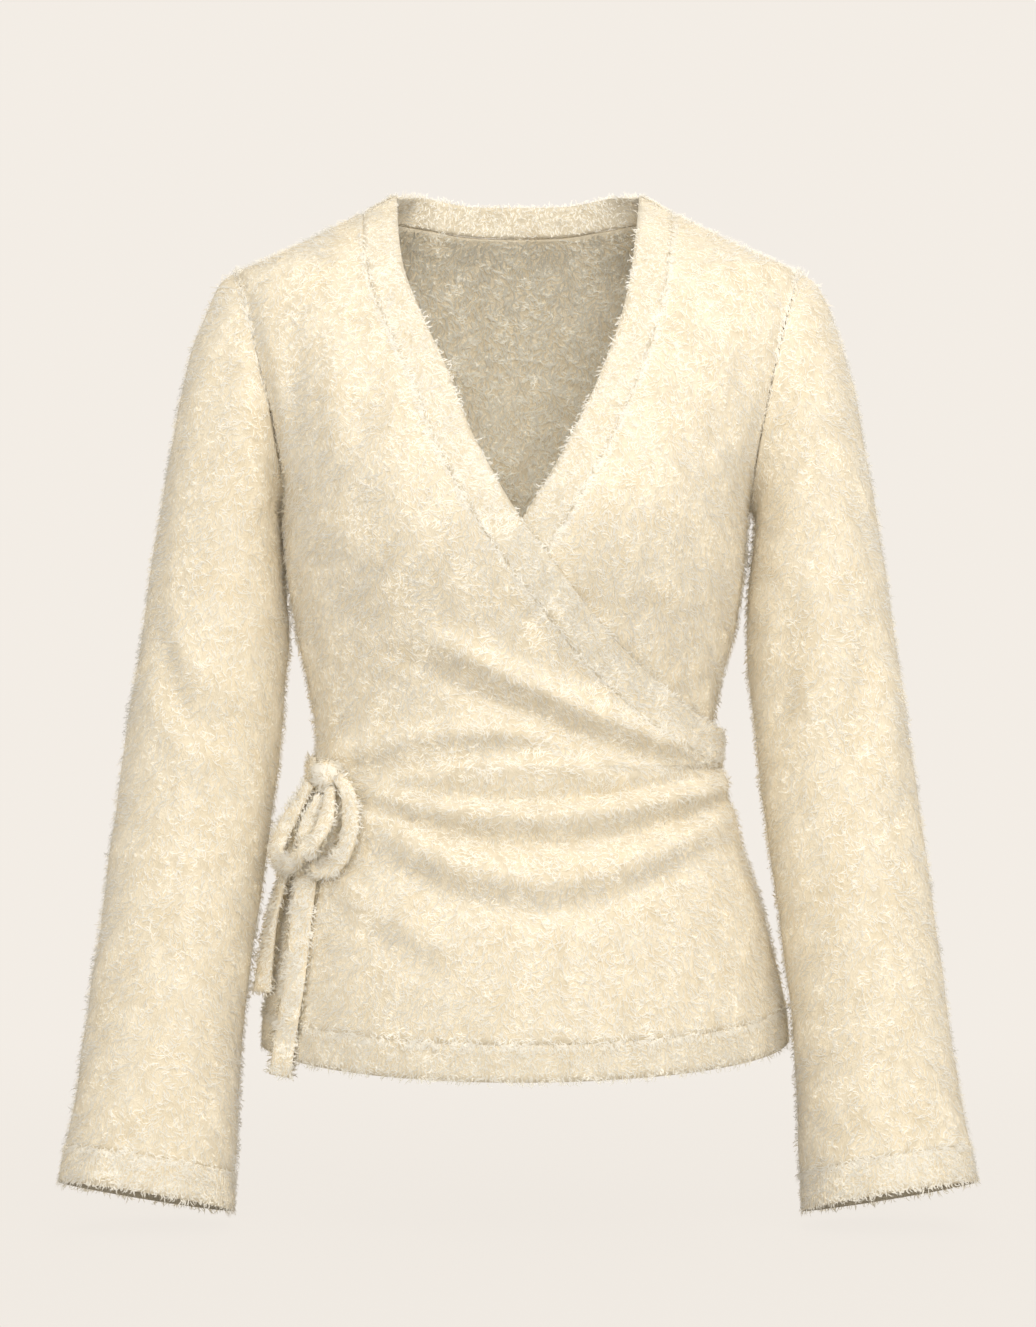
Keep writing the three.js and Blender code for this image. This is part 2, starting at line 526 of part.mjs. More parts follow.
// ---- Back ----
const BACK_COLUMNS = 12;
const BAND_LEAN = 3; // how far the back band's top leans towards the neck
function backPieces() {
  const edge = (z) => 1 - edgeGap(z, 1);
  const levels = [...shoulderLevels, ...armholeLevels, ...chestLevels, ...coarseWaist];
  const rows = panelRows(levels, 3, evenly(BACK_COLUMNS), (z) => -edge(z), edge, 1);
  const neckX = evenly(BACK_COLUMNS).map((part) => lerp(-1, 1, part) * NECK_SEAM.x);
  const neck = neckX.map((x) => {
    const z = backNeckSeam(Math.abs(x)) - SEAM;
    return [acrossAt(x * 0.995, z, 1), z];
  });
  // The band stands at the middle and leans in with the shoulder line at its ends.
  const band = [0, 0.5, 1].map((part) => neckX.map((x) => {
    const seamZ = backNeckSeam(Math.abs(x));
    const leanIn = (NECK_SEAM.x - NECK_POINT) * smooth(45, NECK_SEAM.x, Math.abs(x)) * Math.sign(x);
    const { y } = back(acrossAt(x, seamZ, 1), seamZ);
    const level = lerp(seamZ, bandTop(Math.abs(x)), part);
    return new THREE.Vector3(x - leanIn * part, y - BAND_LEAN * part, level);
  }));
  const inner = band.map((row) => row.map((p) => {
    const side = smooth(45, NECK_SEAM.x, Math.abs(p.x) / 0.9) * Math.sign(p.x);
    const inwards = new THREE.Vector3(-0.55 * side, side ** 2 - 1, -0.8 * side ** 2);
    return p.clone().addScaledVector(inwards, WALL);
  }));
  return [
    clothWall('back', back, [neck, ...rows], PILE),
    clothWall('hem_back', back, hemRows(rows.at(-1), 1), RIB),
    closedMesh('neck_band_back', band, inner, false, RIB),
  ];
}

// ---- Sleeves ----
const SLEEVE_COLUMNS = ARMHOLE_STEPS * 2;
const numbered = SLEEVE.map((row, i) => ({ ...row, i }));
const sleeveColumn = Object.fromEntries(
  Object.keys(SLEEVE[0]).map((name) => [name, through(numbered, 'i', name)]),
);
function sleeveSurface(side) {
  const folds = (side > 0 ? SLEEVE_FOLDS.left : SLEEVE_FOLDS.right)
    .map((fold) => ({ ...fold, a: around(fold.a), b: around(fold.b), c: around(fold.c) }));
  return (turn, i) => {
    const read = (name) => sleeveColumn[name](i);
    const [x, z] = [(read('xOut') + read('xIn')) / 2, (read('zOut') + read('zIn')) / 2];
    const [ax, az] = [(read('xOut') - read('xIn')) / 2, (read('zOut') - read('zIn')) / 2];
    const [cos, sin] = [Math.cos(turn), Math.sin(turn)];
    const depth = sin > 0 ? read('front') : read('back');
    const full = Math.sign(sin) * Math.abs(sin) ** lerp(ARMHOLE.curve, 1, smooth(0, 4, i));
    const cutIn = (sin > 0 ? ARMHOLE.inFront : ARMHOLE.inBack) * Math.abs(full) * smooth(4, 0, i);
    const lean = Math.tan(degrees(read('lean'))) * depth * full;
    const point = new THREE.Vector3(x + ax * cos - cutIn, read('y') - depth * full, z + az * cos + lean);
    const [u, v] = around([(turn * 180) / Math.PI, point.z]);
    const fold = foldHeight(folds, u, v) * smooth(0, 2, i);
    const out = new THREE.Vector3(ax * cos, -depth * sin, az * cos).normalize();
    point.addScaledVector(out, fold);
    return point.multiply(new THREE.Vector3(side, 1, 1));
  };
}
// Degrees round a sleeve as millimetres on its cloth.
function around([angle, z]) {
  return [(angle * Math.PI * 50) / 180, z];
}

function sleevePieces(side) {
  const surface = sleeveSurface(side);
  const turns = Array.from({ length: SLEEVE_COLUMNS }, (_, j) => (j / SLEEVE_COLUMNS) * 2 * Math.PI);
  const name = side > 0 ? 'left' : 'right';
  const axis = (i) => surface(0, i).add(surface(Math.PI, i)).multiplyScalar(0.5);
  const wall = (label, levels, material, shift) => {
    const outer = levels.map((i) => turns.map((u) => surface(u, i)));
    const inner = levels.map((i) => turns.map((u) => {
      const normal = normalOf((a, b) => surface(a, b / 100), u, i * 100, (p) => p.clone().sub(axis(i)));
      return surface(u, i).addScaledVector(normal, -WALL);
    }));
    [...outer[0], ...inner[0]].forEach((p) => p.add(shift));
    return closedMesh(label, outer, inner, true, material);
  };
  const rows = Array.from({ length: CUFF_ROW + 1 }, (_, i) => i);
  const cuffGap = SEAM / CUFF;
  return [
    wall(`sleeve_${name}`, rows, PILE, new THREE.Vector3(side * 0.8, 0, -0.2)),
    wall(`cuff_${name}`, [CUFF_ROW + cuffGap, CUFF_ROW + 0.5, CUFF_ROW + 1], RIB, new THREE.Vector3()),
  ];
}

// ---- Tie, knot and bow ----
const TIE_OFFSET = 1.7; // a tie's inner face outside what it lies on
const TURN_START = 92; // the waist tie goes from the wearer's left side, round the back,
const TURN_END = 290; // to the knot

// A tie that lies on the body: stations of [turn, middle height], turns counted from the front
// middle past the wearer's left side.
function lyingTie(name, stations, width) {
  const grids = [[], []];
  for (const [turn, middle] of stations) {
    const surface = turn <= 270 ? back : overFront;
    const s = turn <= 270 ? (180 - turn) / 90 : (turn - 360) / 90;
    const levels = [middle + width / 2, middle, middle - width / 2];
    const normals = levels.map((z) => normalOf(surface, s, z, awayFromAxis));
    [TIE.thick, 0].forEach((thick, k) => grids[k].push(levels.map((z, i) => surface(s, z)
      .addScaledVector(normals[i], TIE_OFFSET + thick))));
  }
  return closedMesh(name, grids[0], grids[1], false, STRAP);
}

function waistTie() {
  const count = 30;
  const start = WAIST_TIE.top - WAIST_TIE.height / 2 - 1;
  const stations = evenly(count)
    .map((t) => [lerp(TURN_START, TURN_END, t), lerp(start, KNOT.at[2] + 2, smooth(0, 1, t))]);
  return lyingTie('tie_waist', stations, TIE.width);
}

function underTie() {
  const stations = evenly(5).map((t) => [360 + lerp(UNDER_TIE.from, UNDER_TIE.to, t), UNDER_TIE.z]);
  return lyingTie('tie_under', stations, UNDER_TIE.width);
}

function knot() {
  const geometry = new THREE.SphereGeometry(1, 14, 9);
  geometry.scale(KNOT.long / 2, KNOT.deep / 2, KNOT.tall / 2);
  const mesh = new THREE.Mesh(geometry, STRAP);
  mesh.name = 'bow_knot';
  mesh.position.set(...KNOT.at);
  mesh.rotation.z = degrees(KNOT.turn);
  return mesh;
}

// ---- The cardigan ----
const cardigan = new THREE.Group();
cardigan.add(...backPieces(), ...underPieces(), ...overPieces(), ...sleevePieces(1), ...sleevePieces(-1));
cardigan.add(waistTie(), underTie(), knot());
cardigan.add(
  strap('bow_loop_outer', LOOP_OUTER, LOOP, 20, STRAP, [0.5, 0.5]),
  strap('bow_loop_inner', LOOP_INNER, LOOP, 20, STRAP, [0.6, 0.4]),
  strap('bow_tail_front', TAIL_FRONT, TIE, 14, STRAP),
  strap('bow_tail_back', TAIL_BACK, TIE, 10, STRAP),
);
export default cardigan;
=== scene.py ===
"""A wrap cardigan in long-pile knit, filled out as it is worn, with nobody in it.

Lengths in the tables are millimetres, +Z up, the front faces -Y and the wearer's left is +X. Each cloth
piece is a closed thin shell on a surface given by a formula, and its pile is one joined mesh of tapered
strands rooted on that shell.
"""
import math

import bpy
import numpy as np
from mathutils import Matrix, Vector


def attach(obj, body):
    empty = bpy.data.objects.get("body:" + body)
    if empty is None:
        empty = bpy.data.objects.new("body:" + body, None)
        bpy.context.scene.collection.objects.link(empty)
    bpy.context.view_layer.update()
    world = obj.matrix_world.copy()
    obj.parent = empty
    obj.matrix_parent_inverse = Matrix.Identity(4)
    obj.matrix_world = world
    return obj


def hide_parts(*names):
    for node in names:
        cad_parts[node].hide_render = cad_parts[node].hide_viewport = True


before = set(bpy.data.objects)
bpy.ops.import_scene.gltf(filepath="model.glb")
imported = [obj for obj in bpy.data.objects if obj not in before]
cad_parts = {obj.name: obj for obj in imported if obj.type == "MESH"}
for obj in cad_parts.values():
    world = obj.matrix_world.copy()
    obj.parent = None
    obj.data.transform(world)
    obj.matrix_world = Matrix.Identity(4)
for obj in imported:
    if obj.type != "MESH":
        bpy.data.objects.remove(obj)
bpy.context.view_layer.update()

bl_info = {
    "name": "Wrap cardigan",
    "version": (1, 0, 0),
    "blender": (4, 5, 0),
    "location": "View3D > Sidebar > Cardigan",
    "description": "A wrap cardigan in long-pile knit with ribbed bands and a tie bow",
    "category": "Object",
}

MM = 0.001
WALL = 2.4  # thickness of the knit without its pile
SEAM = 0.15  # gap between two pieces at a seam
LAP = 4.8  # how far the over front stands outside the under front
LAP_FROM = (-0.86, -175.0)  # it stands off fully past this s and this z
SIDE_Y = 5.0  # side seams, shoulder seams and sleeve tops lie here, front to back
SHOULDER = (183.0, -50.0)  # x, z of the top of the armhole
ARMPIT = (150.0, -205.0)  # and of its bottom
# The armhole's reach in front and behind, how far it is cut in there, the turn it bares, its fullness.
ARM_FRONT, ARM_BACK, ARM_IN_FRONT, ARM_IN_BACK, ARM_TURN, ARM_CURVE = 46.0, 48.0, 5.0, 9.0, 24.0, 1.5
NECK_POINT = 80.0  # half the neck's width at the shoulder line
SHOULDER_CURVE = 1.12
BAND = 23.0  # width of the bands at neck and hem
NECK_SEAM = (100.0, -11.8)  # where a band seam crosses the shoulder line
TIE_WIDTH, TIE_THICK, TIE_OFFSET = 18.0, 3.0, 1.7
HEM_SIDE, HEM_DIP = -548.0, 17.0
LEVEL_END = -470.0  # below this the rows of a panel bend to meet the hem seam
OVER_END, UNDER_END = 0.975, -0.84
BUST = (74.0, -208.0, 11.0, 48.0, 52.0)  # x, z, depth, width and height of the fullness of a front
LIFT = (-385.0, 78.0, 6.5)  # z, height and depth of the gathered cloth at the waist
KNOT_AT, KNOT_SIZE, KNOT_TURN = (-122.0, -52.4, -376.0), (22.0, 15.0, 20.0), -52.0
LOOP_WIDTH, LOOP_THICK = 15.0, 3.2
UNDER_TIE = (12.0, -86.0, -64.0, -391.0)  # width, first and last turn from the front middle, z
STEP = 0.002

# z, half width on the wearer's left and right, depth in front and behind
TORSO = (
    (0, 80, 80, 8, 14),
    (-12, 100, 100, 30, 46),
    (-26, 128, 128, 45, 63),
    (-50, 183, 183, 62, 77),
    (-80, 177, 177, 78, 88),
    (-115, 169, 169, 93, 96),
    (-160, 160, 160, 108, 100),
    (-205, 150, 150, 117, 98),
    (-244, 147, 147, 113, 91),
    (-283, 141, 141, 101, 82),
    (-322, 131, 131, 88, 74),
    (-355, 125, 125, 81, 71),
    (-385, 126, 127, 81, 74),
    (-419, 136, 136, 86, 84),
    (-458, 151, 149, 96, 98),
    (-497, 162, 158, 104, 110),
    (-536, 170, 163, 109, 116),
    (-572, 172, 164, 111, 117),
)

# z and x of the neck band seam on the over front
OVER_SEAM = (
    (-11.8, -100),
    (-42, -98),
    (-68, -92),
    (-100, -79),
    (-131, -65),
    (-166, -52),
    (-194, -38),
    (-222, -21),
    (-260, 8),
    (-300, 39),
    (-335, 73),
    (-358, 100),
    (-374, 126),
)

# the same on the under front
UNDER_SEAM = (
    (-11.8, 100),
    (-42, 97),
    (-70, 92.5),
    (-100, 84.5),
    (-131, 73),
    (-162, 59),
    (-190, 44.5),
    (-222, 25),
    (-260, 0),
    (-300, -32),
    (-335, -70),
    (-358, -98),
    (-374, -119),
)

# x, z of the back neck seam, z of the top of its band
BACK_NECK = (
    (0, -22.5, -2.5),
    (32, -21.5, -2),
    (55, -18.5, 1),
    (76, -15.5, 2),
    (100, -11.8, -0.6),
)

# rings: outermost x and z, innermost x and z, middle y, depth in front and behind, lean
SLEEVE = (
    (183, -50, 150, -205, 5, 46, 48, 0),
    (194, -58, 152.5, -208, 5, 48, 50, 0),
    (203, -76, 153.5, -212, 5, 50, 51, 0),
    (211, -100, 153.5, -217, 4, 51, 52, 0),
    (219, -130, 153, -223, 4, 51, 52, 0),
    (225, -165, 152.3, -231, 3, 51, 52, 1),
    (232, -203, 151, -243, 2, 50, 50, 2),
    (238, -242, 149.5, -262, 1, 49, 49, 3),
    (243, -280, 149, -291, -1, 48, 48, 4),
    (249, -318, 152, -330, -4, 48, 48, 6),
    (254, -356, 155.5, -369, -8, 48, 48, 7),
    (259, -396, 160, -409, -13, 47, 47, 8),
    (264, -436, 165.5, -450, -19, 47, 47, 9),
    (269, -476, 171, -490, -25, 47, 47, 10),
    (274, -516, 175.5, -530, -32, 46, 46, 11),
    (279, -556, 178, -571, -40, 45, 45, 11),
    (284.5, -594, 179, -610, -48, 45, 45, 11),
    (288, -612, 180, -629, -52, 45, 45, 11),
    (292, -634, 180.5, -652, -57, 45, 45, 11),
)

# folds from a past b to c, height and half width; x, z
FRONT_FOLDS = (
    ((-62, -278), (12, -318), (112, -362), 7, 8),
    ((-78, -296), (12, -342), (98, -371), -5, 7),
    ((-116, -366), (-32, -332), (24, -350), 5, 7),
    ((-108, -371), (-62, -373), (-20, -361), -3, 5),
    ((-56, -375), (0, -366), (52, -372), 3.5, 5),
    ((-98, -376), (4, -408), (127, -371), -6, 5),
    ((-98, -383), (8, -420), (131, -380), 6.5, 8),
    ((-98, -389), (2, -446), (127, -394), -7, 6),
    ((-98, -398), (10, -482), (127, -402), 6.5, 13),
    ((-99, -414), (8, -500), (118, -420), -4.5, 10),
    ((-116, -440), (-80, -468), (-36, -486), 2.5, 9),
    ((-118, -452), (-94, -478), (-42, -498), -2, 9),
    ((-116, -85), (-117, -125), (-108, -170), 2.5, 10),
    ((-140, -95), (-143, -125), (-136, -165), -2.5, 9),
)

SLEEVE_FOLDS_LEFT = (
    ((56, -282), (64, -330), (92, -372), -4, 9),
    ((84, -235), (90, -290), (108, -345), 3.5, 12),
    ((40, -300), (42, -345), (60, -395), 2.5, 11),
    ((112, -245), (124, -300), (136, -350), -2.5, 9),
    ((250, -290), (268, -335), (300, -352), -3.5, 9),
    ((245, -315), (262, -362), (295, -380), 3, 10),
)

SLEEVE_FOLDS_RIGHT = (
    ((80, -112), (112, -160), (136, -212), 4, 12),
    ((58, -100), (68, -150), (74, -200), -3, 12),
    ((55, -292), (66, -336), (102, -350), -4, 8),
    ((58, -275), (78, -314), (122, -332), 3, 9),
    ((50, -318), (72, -360), (112, -372), 3, 9),
    ((238, -300), (262, -338), (300, -346), -3.5, 9),
    ((240, -325), (258, -366), (292, -384), 3, 10),
)

# place and the way its width points
LOOP_OUTER = (
    ((-119, -63, -384), (0.8, -0.5, 0.2)),
    ((-120, -72, -397), (0.8, -0.5, 0.2)),
    ((-123, -78, -408), (0.8, -0.4, 0.3)),
    ((-131, -79, -420), (0.7, -0.4, 0.5)),
    ((-140, -70, -429), (0.5, -0.6, 0.6)),
    ((-147, -60, -432), (0.4, -0.8, 0.3)),
    ((-153, -49, -427), (0.5, -0.8, 0)),
    ((-153, -43, -419), (0.6, -0.7, -0.2)),
    ((-148, -44, -408), (0.7, -0.6, -0.3)),
    ((-141, -46, -396), (0.7, -0.6, -0.4)),
    ((-132.5, -53, -381), (0.7, -0.6, -0.4)),
)

# place and the way its width points
LOOP_INNER = (
    ((-114, -64, -377), (0.4, -0.3, 0.8)),
    ((-108, -70, -385), (0.8, -0.5, 0.2)),
    ((-106, -73, -398), (0.8, -0.5, 0)),
    ((-106.5, -75, -412), (0.8, -0.5, -0.1)),
    ((-111, -75, -425), (0.8, -0.5, -0.3)),
    ((-118, -72, -433), (0.6, -0.5, -0.6)),
    ((-126, -67, -435), (0.3, -0.9, -0.3)),
    ((-132, -60, -430), (0.6, -0.7, 0.2)),
    ((-135, -55, -421), (0.8, -0.5, 0.2)),
    ((-134, -54, -409), (0.8, -0.5, 0.2)),
    ((-129, -55, -397), (0.8, -0.5, 0.2)),
    ((-125.5, -56, -388), (0.8, -0.5, 0.2)),
)

# place and the way its width points
TAIL_FRONT = (
    ((-124, -49, -388), (0.8, -0.6, 0)),
    ((-125.5, -47.5, -399), (0.8, -0.6, 0)),
    ((-128, -47, -412), (0.8, -0.6, 0)),
    ((-132, -50, -430), (0.9, -0.5, 0)),
    ((-135, -56, -446), (0.9, -0.4, 0)),
    ((-138, -59, -470), (0.9, -0.4, 0)),
    ((-140, -61, -490), (0.9, -0.4, 0)),
    ((-142, -63, -508), (0.9, -0.4, 0.1)),
    ((-145, -63, -526), (0.9, -0.4, 0.1)),
    ((-148, -62, -545), (0.9, -0.4, 0.2)),
    ((-151, -61, -566), (0.9, -0.3, 0.2)),
)

# place and the way its width points
TAIL_BACK = (
    ((-136.2, -37, -387.5), (0.3, -0.9, 0.1)),
    ((-140, -31, -402), (0.3, -0.9, 0.1)),
    ((-144, -30, -418), (0.3, -0.9, 0.1)),
    ((-150, -31, -440), (0.3, -0.9, 0.1)),
    ((-157, -32, -466), (0.4, -0.9, 0.1)),
    ((-161, -34, -490), (0.6, -0.8, 0.2)),
    ((-164, -37, -515), (0.8, -0.6, 0.3)),
)

# Small creases that only show in the cloth: as FRONT_FOLDS, on the under front and on the over front.
UNDER_CREASES = (
    ((64, -284), (78, -292), (92, -300), 1.6, 4),
    ((76, -303), (90, -311), (104, -318), 1.8, 4),
    ((92, -316), (104, -325), (114, -330), 1.4, 4),
    ((70, -250), (92, -262), (118, -262), 1.4, 7),
    ((150, -95), (142, -120), (134, -160), -1.6, 8),
)
OVER_CREASES = (
    ((-96, -300), (-40, -312), (8, -326), 1.6, 6),
    ((-20, -248), (18, -292), (70, -338), -1.2, 5),
    ((40, -362), (78, -372), (118, -372), 2.0, 4),
    ((20, -398), (70, -398), (124, -386), 1.8, 4),
    ((30, -436), (80, -420), (122, -396), -1.6, 5),
    ((-60, -430), (-10, -452), (40, -452), 1.2, 9),
    ((-130, -215), (-100, -235), (-60, -240), 1.2, 9),
)


# ---- Small helpers ----
def smooth(start, end, value):
    """0 before start and 1 after end, with t*t*(3 - 2t) between them."""
    t = np.clip((value - start) / (end - start), 0, 1)
    return t * t * (3 - 2 * t)


def lerp(a, b, t):
    return a + (b - a) * t


def through(table, key, column):
    """A smooth curve through a table: cubics whose slope at a row is that between its neighbours."""
    rows = np.array(sorted(table, key=lambda row: row[key]), float)
    k, v = rows[:, key], rows[:, column]
    n = len(k)
    low, high = np.maximum(np.arange(n) - 1, 0), np.minimum(np.arange(n) + 1, n - 1)
    slopes = (v[high] - v[low]) / (k[high] - k[low])

    def read(value):
        value = np.asarray(value, float)
        i = np.clip(np.searchsorted(k, value, "left") - 1, 0, n - 2)
        span = k[i + 1] - k[i]
        t = np.clip((value - k[i]) / span, -1, 2)
        a, b, rise, fall = v[i], v[i + 1], slopes[i] * span, slopes[i + 1] * span
        inside = a + t * (rise + t * (3 * (b - a) - 2 * rise - fall + t * (2 * (a - b) + rise + fall)))
        return np.where(t < 0, a + rise * t, np.where(t > 1, b + fall * (t - 1), inside))

    return read


def spline(points):
    """A smooth curve through points, read at t from 0 to 1."""
    count = len(points)
    reads = [through([(i, p[axis]) for i, p in enumerate(points)], 0, 1) for axis in range(3)]
    return lambda t: np.stack([read(np.asarray(t) * (count - 1)) for read in reads], -1)


def fold_height(folds, u, v):
    """Sum of height * ends * exp(-(d / half)^2), d being the distance to the fold's curve."""
    total = np.zeros_like(u)
    t = np.linspace(0, 1, 13)[:, None]
    for a, b, c, height, half in folds:
        line = (1 - t) ** 2 * np.array(a) + 2 * t * (1 - t) * np.array(b) + t * t * np.array(c)
        nearest, along = np.full(u.shape, 1e9), np.zeros_like(u)
        for i in range(len(line) - 1):
            d = line[i + 1] - line[i]
            w = np.clip(((u - line[i, 0]) * d[0] + (v - line[i, 1]) * d[1]) / (d @ d), 0, 1)
            away = np.hypot(u - line[i, 0] - w * d[0], v - line[i, 1] - w * d[1])
            closer = away < nearest
            nearest = np.where(closer, away, nearest)
            along = np.where(closer, (i + w) / (len(line) - 1), along)
        ends = smooth(0, 0.22, along) * smooth(1, 0.86, along)
        total += height * (0.25 + 0.75 * ends) * np.exp(-((nearest / half) ** 2))
    return total


def ripple(points, size, seed):
    """Soft uneven waves from -1 to 1: a mean of 14 sines in seeded directions, about size long."""
    rng = np.random.default_rng(seed)
    total = np.zeros(points.shape[:-1])
    for _ in range(14):
        way = rng.normal(size=3)
        way *= 2 * math.pi / (size * rng.uniform(0.7, 1.6) * np.linalg.norm(way))
        total += np.sin(points @ way + rng.uniform(0, 6.3))
    return total / 4


def unit(vectors):
    return vectors / np.maximum(np.linalg.norm(vectors, axis=-1, keepdims=True), 1e-9)


# ---- The body ----
half_plus, half_minus = through(TORSO, 0, 1), through(TORSO, 0, 2)
front_depth, back_depth = through(TORSO, 0, 3), through(TORSO, 0, 4)
back_seam, band_top = through(BACK_NECK, 0, 1), through(BACK_NECK, 0, 2)
over_seam, under_seam = through(OVER_SEAM, 0, 1), through(UNDER_SEAM, 0, 1)
SEAM_END = OVER_SEAM[-1][0]


def half_width(z, side):
    """Half the width of the panels: the shoulder line, the armhole, then the side."""
    drop = np.maximum(0, z / SHOULDER[1])
    shoulder = NECK_POINT + (SHOULDER[0] - NECK_POINT) * drop ** SHOULDER_CURVE
    arm = lerp(ARMPIT[0], SHOULDER[0], (z - ARMPIT[1]) / (SHOULDER[1] - ARMPIT[1]))
    below = np.where(side < 0, half_minus(z), half_plus(z))
    return np.where(z > SHOULDER[1], shoulder, np.where(z > ARMPIT[1], arm, below))


def arm_bulge(z):
    """0 outside the armhole, 1 at its middle: (1 - q^2)^(curve / 2), q from -1 to 1 along it."""
    q = (z - (SHOULDER[1] + ARMPIT[1]) / 2) / ((SHOULDER[1] - ARMPIT[1]) / 2)
    return np.maximum(0, 1 - q * q) ** (ARM_CURVE / 2)


def edge_angle(z):
    return np.radians(90 - ARM_TURN * arm_bulge(z))


def edge_x(z, side, face):
    return half_width(z, side) - (ARM_IN_FRONT if face < 0 else ARM_IN_BACK) * arm_bulge(z)


def torso(s, z, face):
    """The body's outside: x = X sin(sE) / sin(E) and y from the edge out to the depth with cos(sE)."""
    s, z = np.broadcast_arrays(np.asarray(s, float), np.asarray(z, float))
    edge = edge_angle(z)
    x = edge_x(z, np.sign(s), face) * np.sin(s * edge) / np.sin(edge)
    edge_y = SIDE_Y + face * (ARM_FRONT if face < 0 else ARM_BACK) * arm_bulge(z)
    full = (np.cos(s * edge) - np.cos(edge)) / (1 - np.cos(edge))
    depth = front_depth(z) if face < 0 else back_depth(z)
    y = edge_y + (face * depth - edge_y) * full
    if face < 0:
        across, up = (np.abs(x) - BUST[0]) / BUST[3], (z - BUST[1]) / BUST[4]
        y = y - BUST[2] * np.exp(-across ** 2 - up ** 2)
    return np.stack([x, y, z], -1)


def across_at(x, z, face=-1):
    """The s at which the front, or the back, has this x."""
    edge = edge_angle(z)
    return np.arcsin(np.clip(x * np.sin(edge) / edge_x(z, np.sign(x), face), -1, 1)) / edge


def edge_gap(z, face):
    depth = front_depth(z) if face < 0 else back_depth(z)
    return SEAM / 2 / (edge_angle(z) * np.maximum(20, depth))


def hem_at(s, face):
    return HEM_SIDE - (HEM_DIP * np.cos(s * math.pi / 2) if face < 0 else 0 * s)


def normal_of(surface, u, v, step=STEP):
    """The outward direction of a surface, from its own slopes."""
    du = surface(u + step, v) - surface(u - step, v)
    dv = surface(u, v + step * 100) - surface(u, v - step * 100)
    normal = unit(np.cross(du, dv))
    p = surface(u, v)
    out = np.stack([p[..., 0], p[..., 1], np.maximum(0, p[..., 2] + 60)], -1)
    return normal * np.where((normal * out).sum(-1) < 0, -1, 1)[..., None]


def front_base(s, z):
    return torso(s, z, -1)


def over_front(s, z):
    """The over front: off the under front by LAP, with its bulk and folds at the waist."""
    s, z = np.broadcast_arrays(np.asarray(s, float), np.asarray(z, float))
    point = front_base(s, z)
    lapped = LAP * smooth(-1, LAP_FROM[0], s) * smooth(-20, LAP_FROM[1], z)
    level = np.exp(-(((z - LIFT[0]) / LIFT[1]) ** 2))
    inside = smooth(-1, -0.8, s) * smooth(1.02, 0.85, s)
    lift = LIFT[2] * level * (0.35 + 0.65 * inside) * smooth(-1, -0.8, s)
    fold = fold_height(FRONT_FOLDS + OVER_CREASES, point[..., 0], point[..., 2])
    fold = fold * (0.4 + 0.6 * inside) * smooth(-1, -0.85, s)
    return point + normal_of(front_base, s, z) * (lapped + lift + fold)[..., None]


def under_front(s, z):
    point = front_base(s, z)
    crease = fold_height(UNDER_CREASES, point[..., 0], point[..., 2])
    return point + normal_of(front_base, s, z) * crease[..., None]


def back_surface(s, z):
    return torso(s, z, 1)


# ---- Meshes ----
def make_mesh(name, points, faces, uv, material, smooth_shaded=True):
    """A mesh object from points in millimetres, faces of one size each in a list, and a uv per point."""
    name = name.replace(" ", "_")
    mesh = bpy.data.meshes.new(name)
    loops = np.concatenate([f.ravel() for f in faces])
    counts = np.concatenate([np.full(len(f), f.shape[1]) for f in faces])
    mesh.vertices.add(len(points))
    mesh.vertices.foreach_set("co", np.asarray(points * MM, np.float32).ravel())
    mesh.loops.add(len(loops))
    mesh.loops.foreach_set("vertex_index", loops.astype(np.int32))
    mesh.polygons.add(len(counts))
    mesh.polygons.foreach_set("loop_start", (np.cumsum(counts) - counts).astype(np.int32))
    mesh.polygons.foreach_set("use_smooth", np.full(len(counts), smooth_shaded))
    mesh.update(calc_edges=True)
    layer = mesh.uv_layers.new(name="OFBake")
    layer.data.foreach_set("uv", np.asarray(uv[loops], np.float32).ravel())
    mesh.materials.append(material)
    mesh.validate()
    piece = bpy.data.objects.new(name, mesh)
    bpy.context.collection.objects.link(piece)
    return piece


def grid_faces(rows, columns, start=0, ring=False):
    """Quads of a grid whose points run row by row from start."""
    spans = columns if ring else columns - 1
    i, j = np.meshgrid(np.arange(rows - 1), np.arange(spans), indexing="ij")
    k = (j + 1) % columns
    at = lambda a, b: start + a * columns + b
    return np.stack([at(i, j), at(i, k), at(i + 1, k), at(i + 1, j)], -1).reshape(-1, 4)


def shell(name, outer, inner, material, ring=False, flip=False):
    """A closed shell from two grids of points: both faces and the rims between their edges."""
    rows, columns = outer.shape[:2]
    count = rows * columns
    faces = [grid_faces(rows, columns, 0, ring), grid_faces(rows, columns, count, ring)[:, ::-1]]
    index = np.arange(count).reshape(rows, columns)
    edges = [index[0], index[-1][::-1]]
    if ring:
        edges = [np.append(index[0], index[0, 0]), np.append(index[-1], index[-1, 0])[::-1]]
    else:
        edges += [index[::-1, 0], index[:, -1]]
    for edge in edges:
        faces.append(np.stack([edge[1:], edge[:-1], edge[:-1] + count, edge[1:] + count], -1))
    if flip:
        faces = [f[:, ::-1] for f in faces]
    v, u = np.meshgrid(np.linspace(0.02, 0.98, rows), np.linspace(0.01, 0.48, columns), indexing="ij")
    uv = np.concatenate([np.stack([u, v], -1).reshape(-1, 2), np.stack([u + 0.5, v], -1).reshape(-1, 2)])
    points = np.concatenate([outer.reshape(-1, 3), inner.reshape(-1, 3)])
    return make_mesh(name, points, faces, uv, material)


def grid_normals(points, ring=False):
    """Unit normals of a grid of points."""
    if ring:
        wrapped = np.concatenate([points[:, -1:], points, points[:, :1]], 1)
        across = (wrapped[:, 2:] - wrapped[:, :-2])
    else:
        across = np.gradient(points, axis=1)
    return unit(np.cross(across, np.gradient(points, axis=0)))


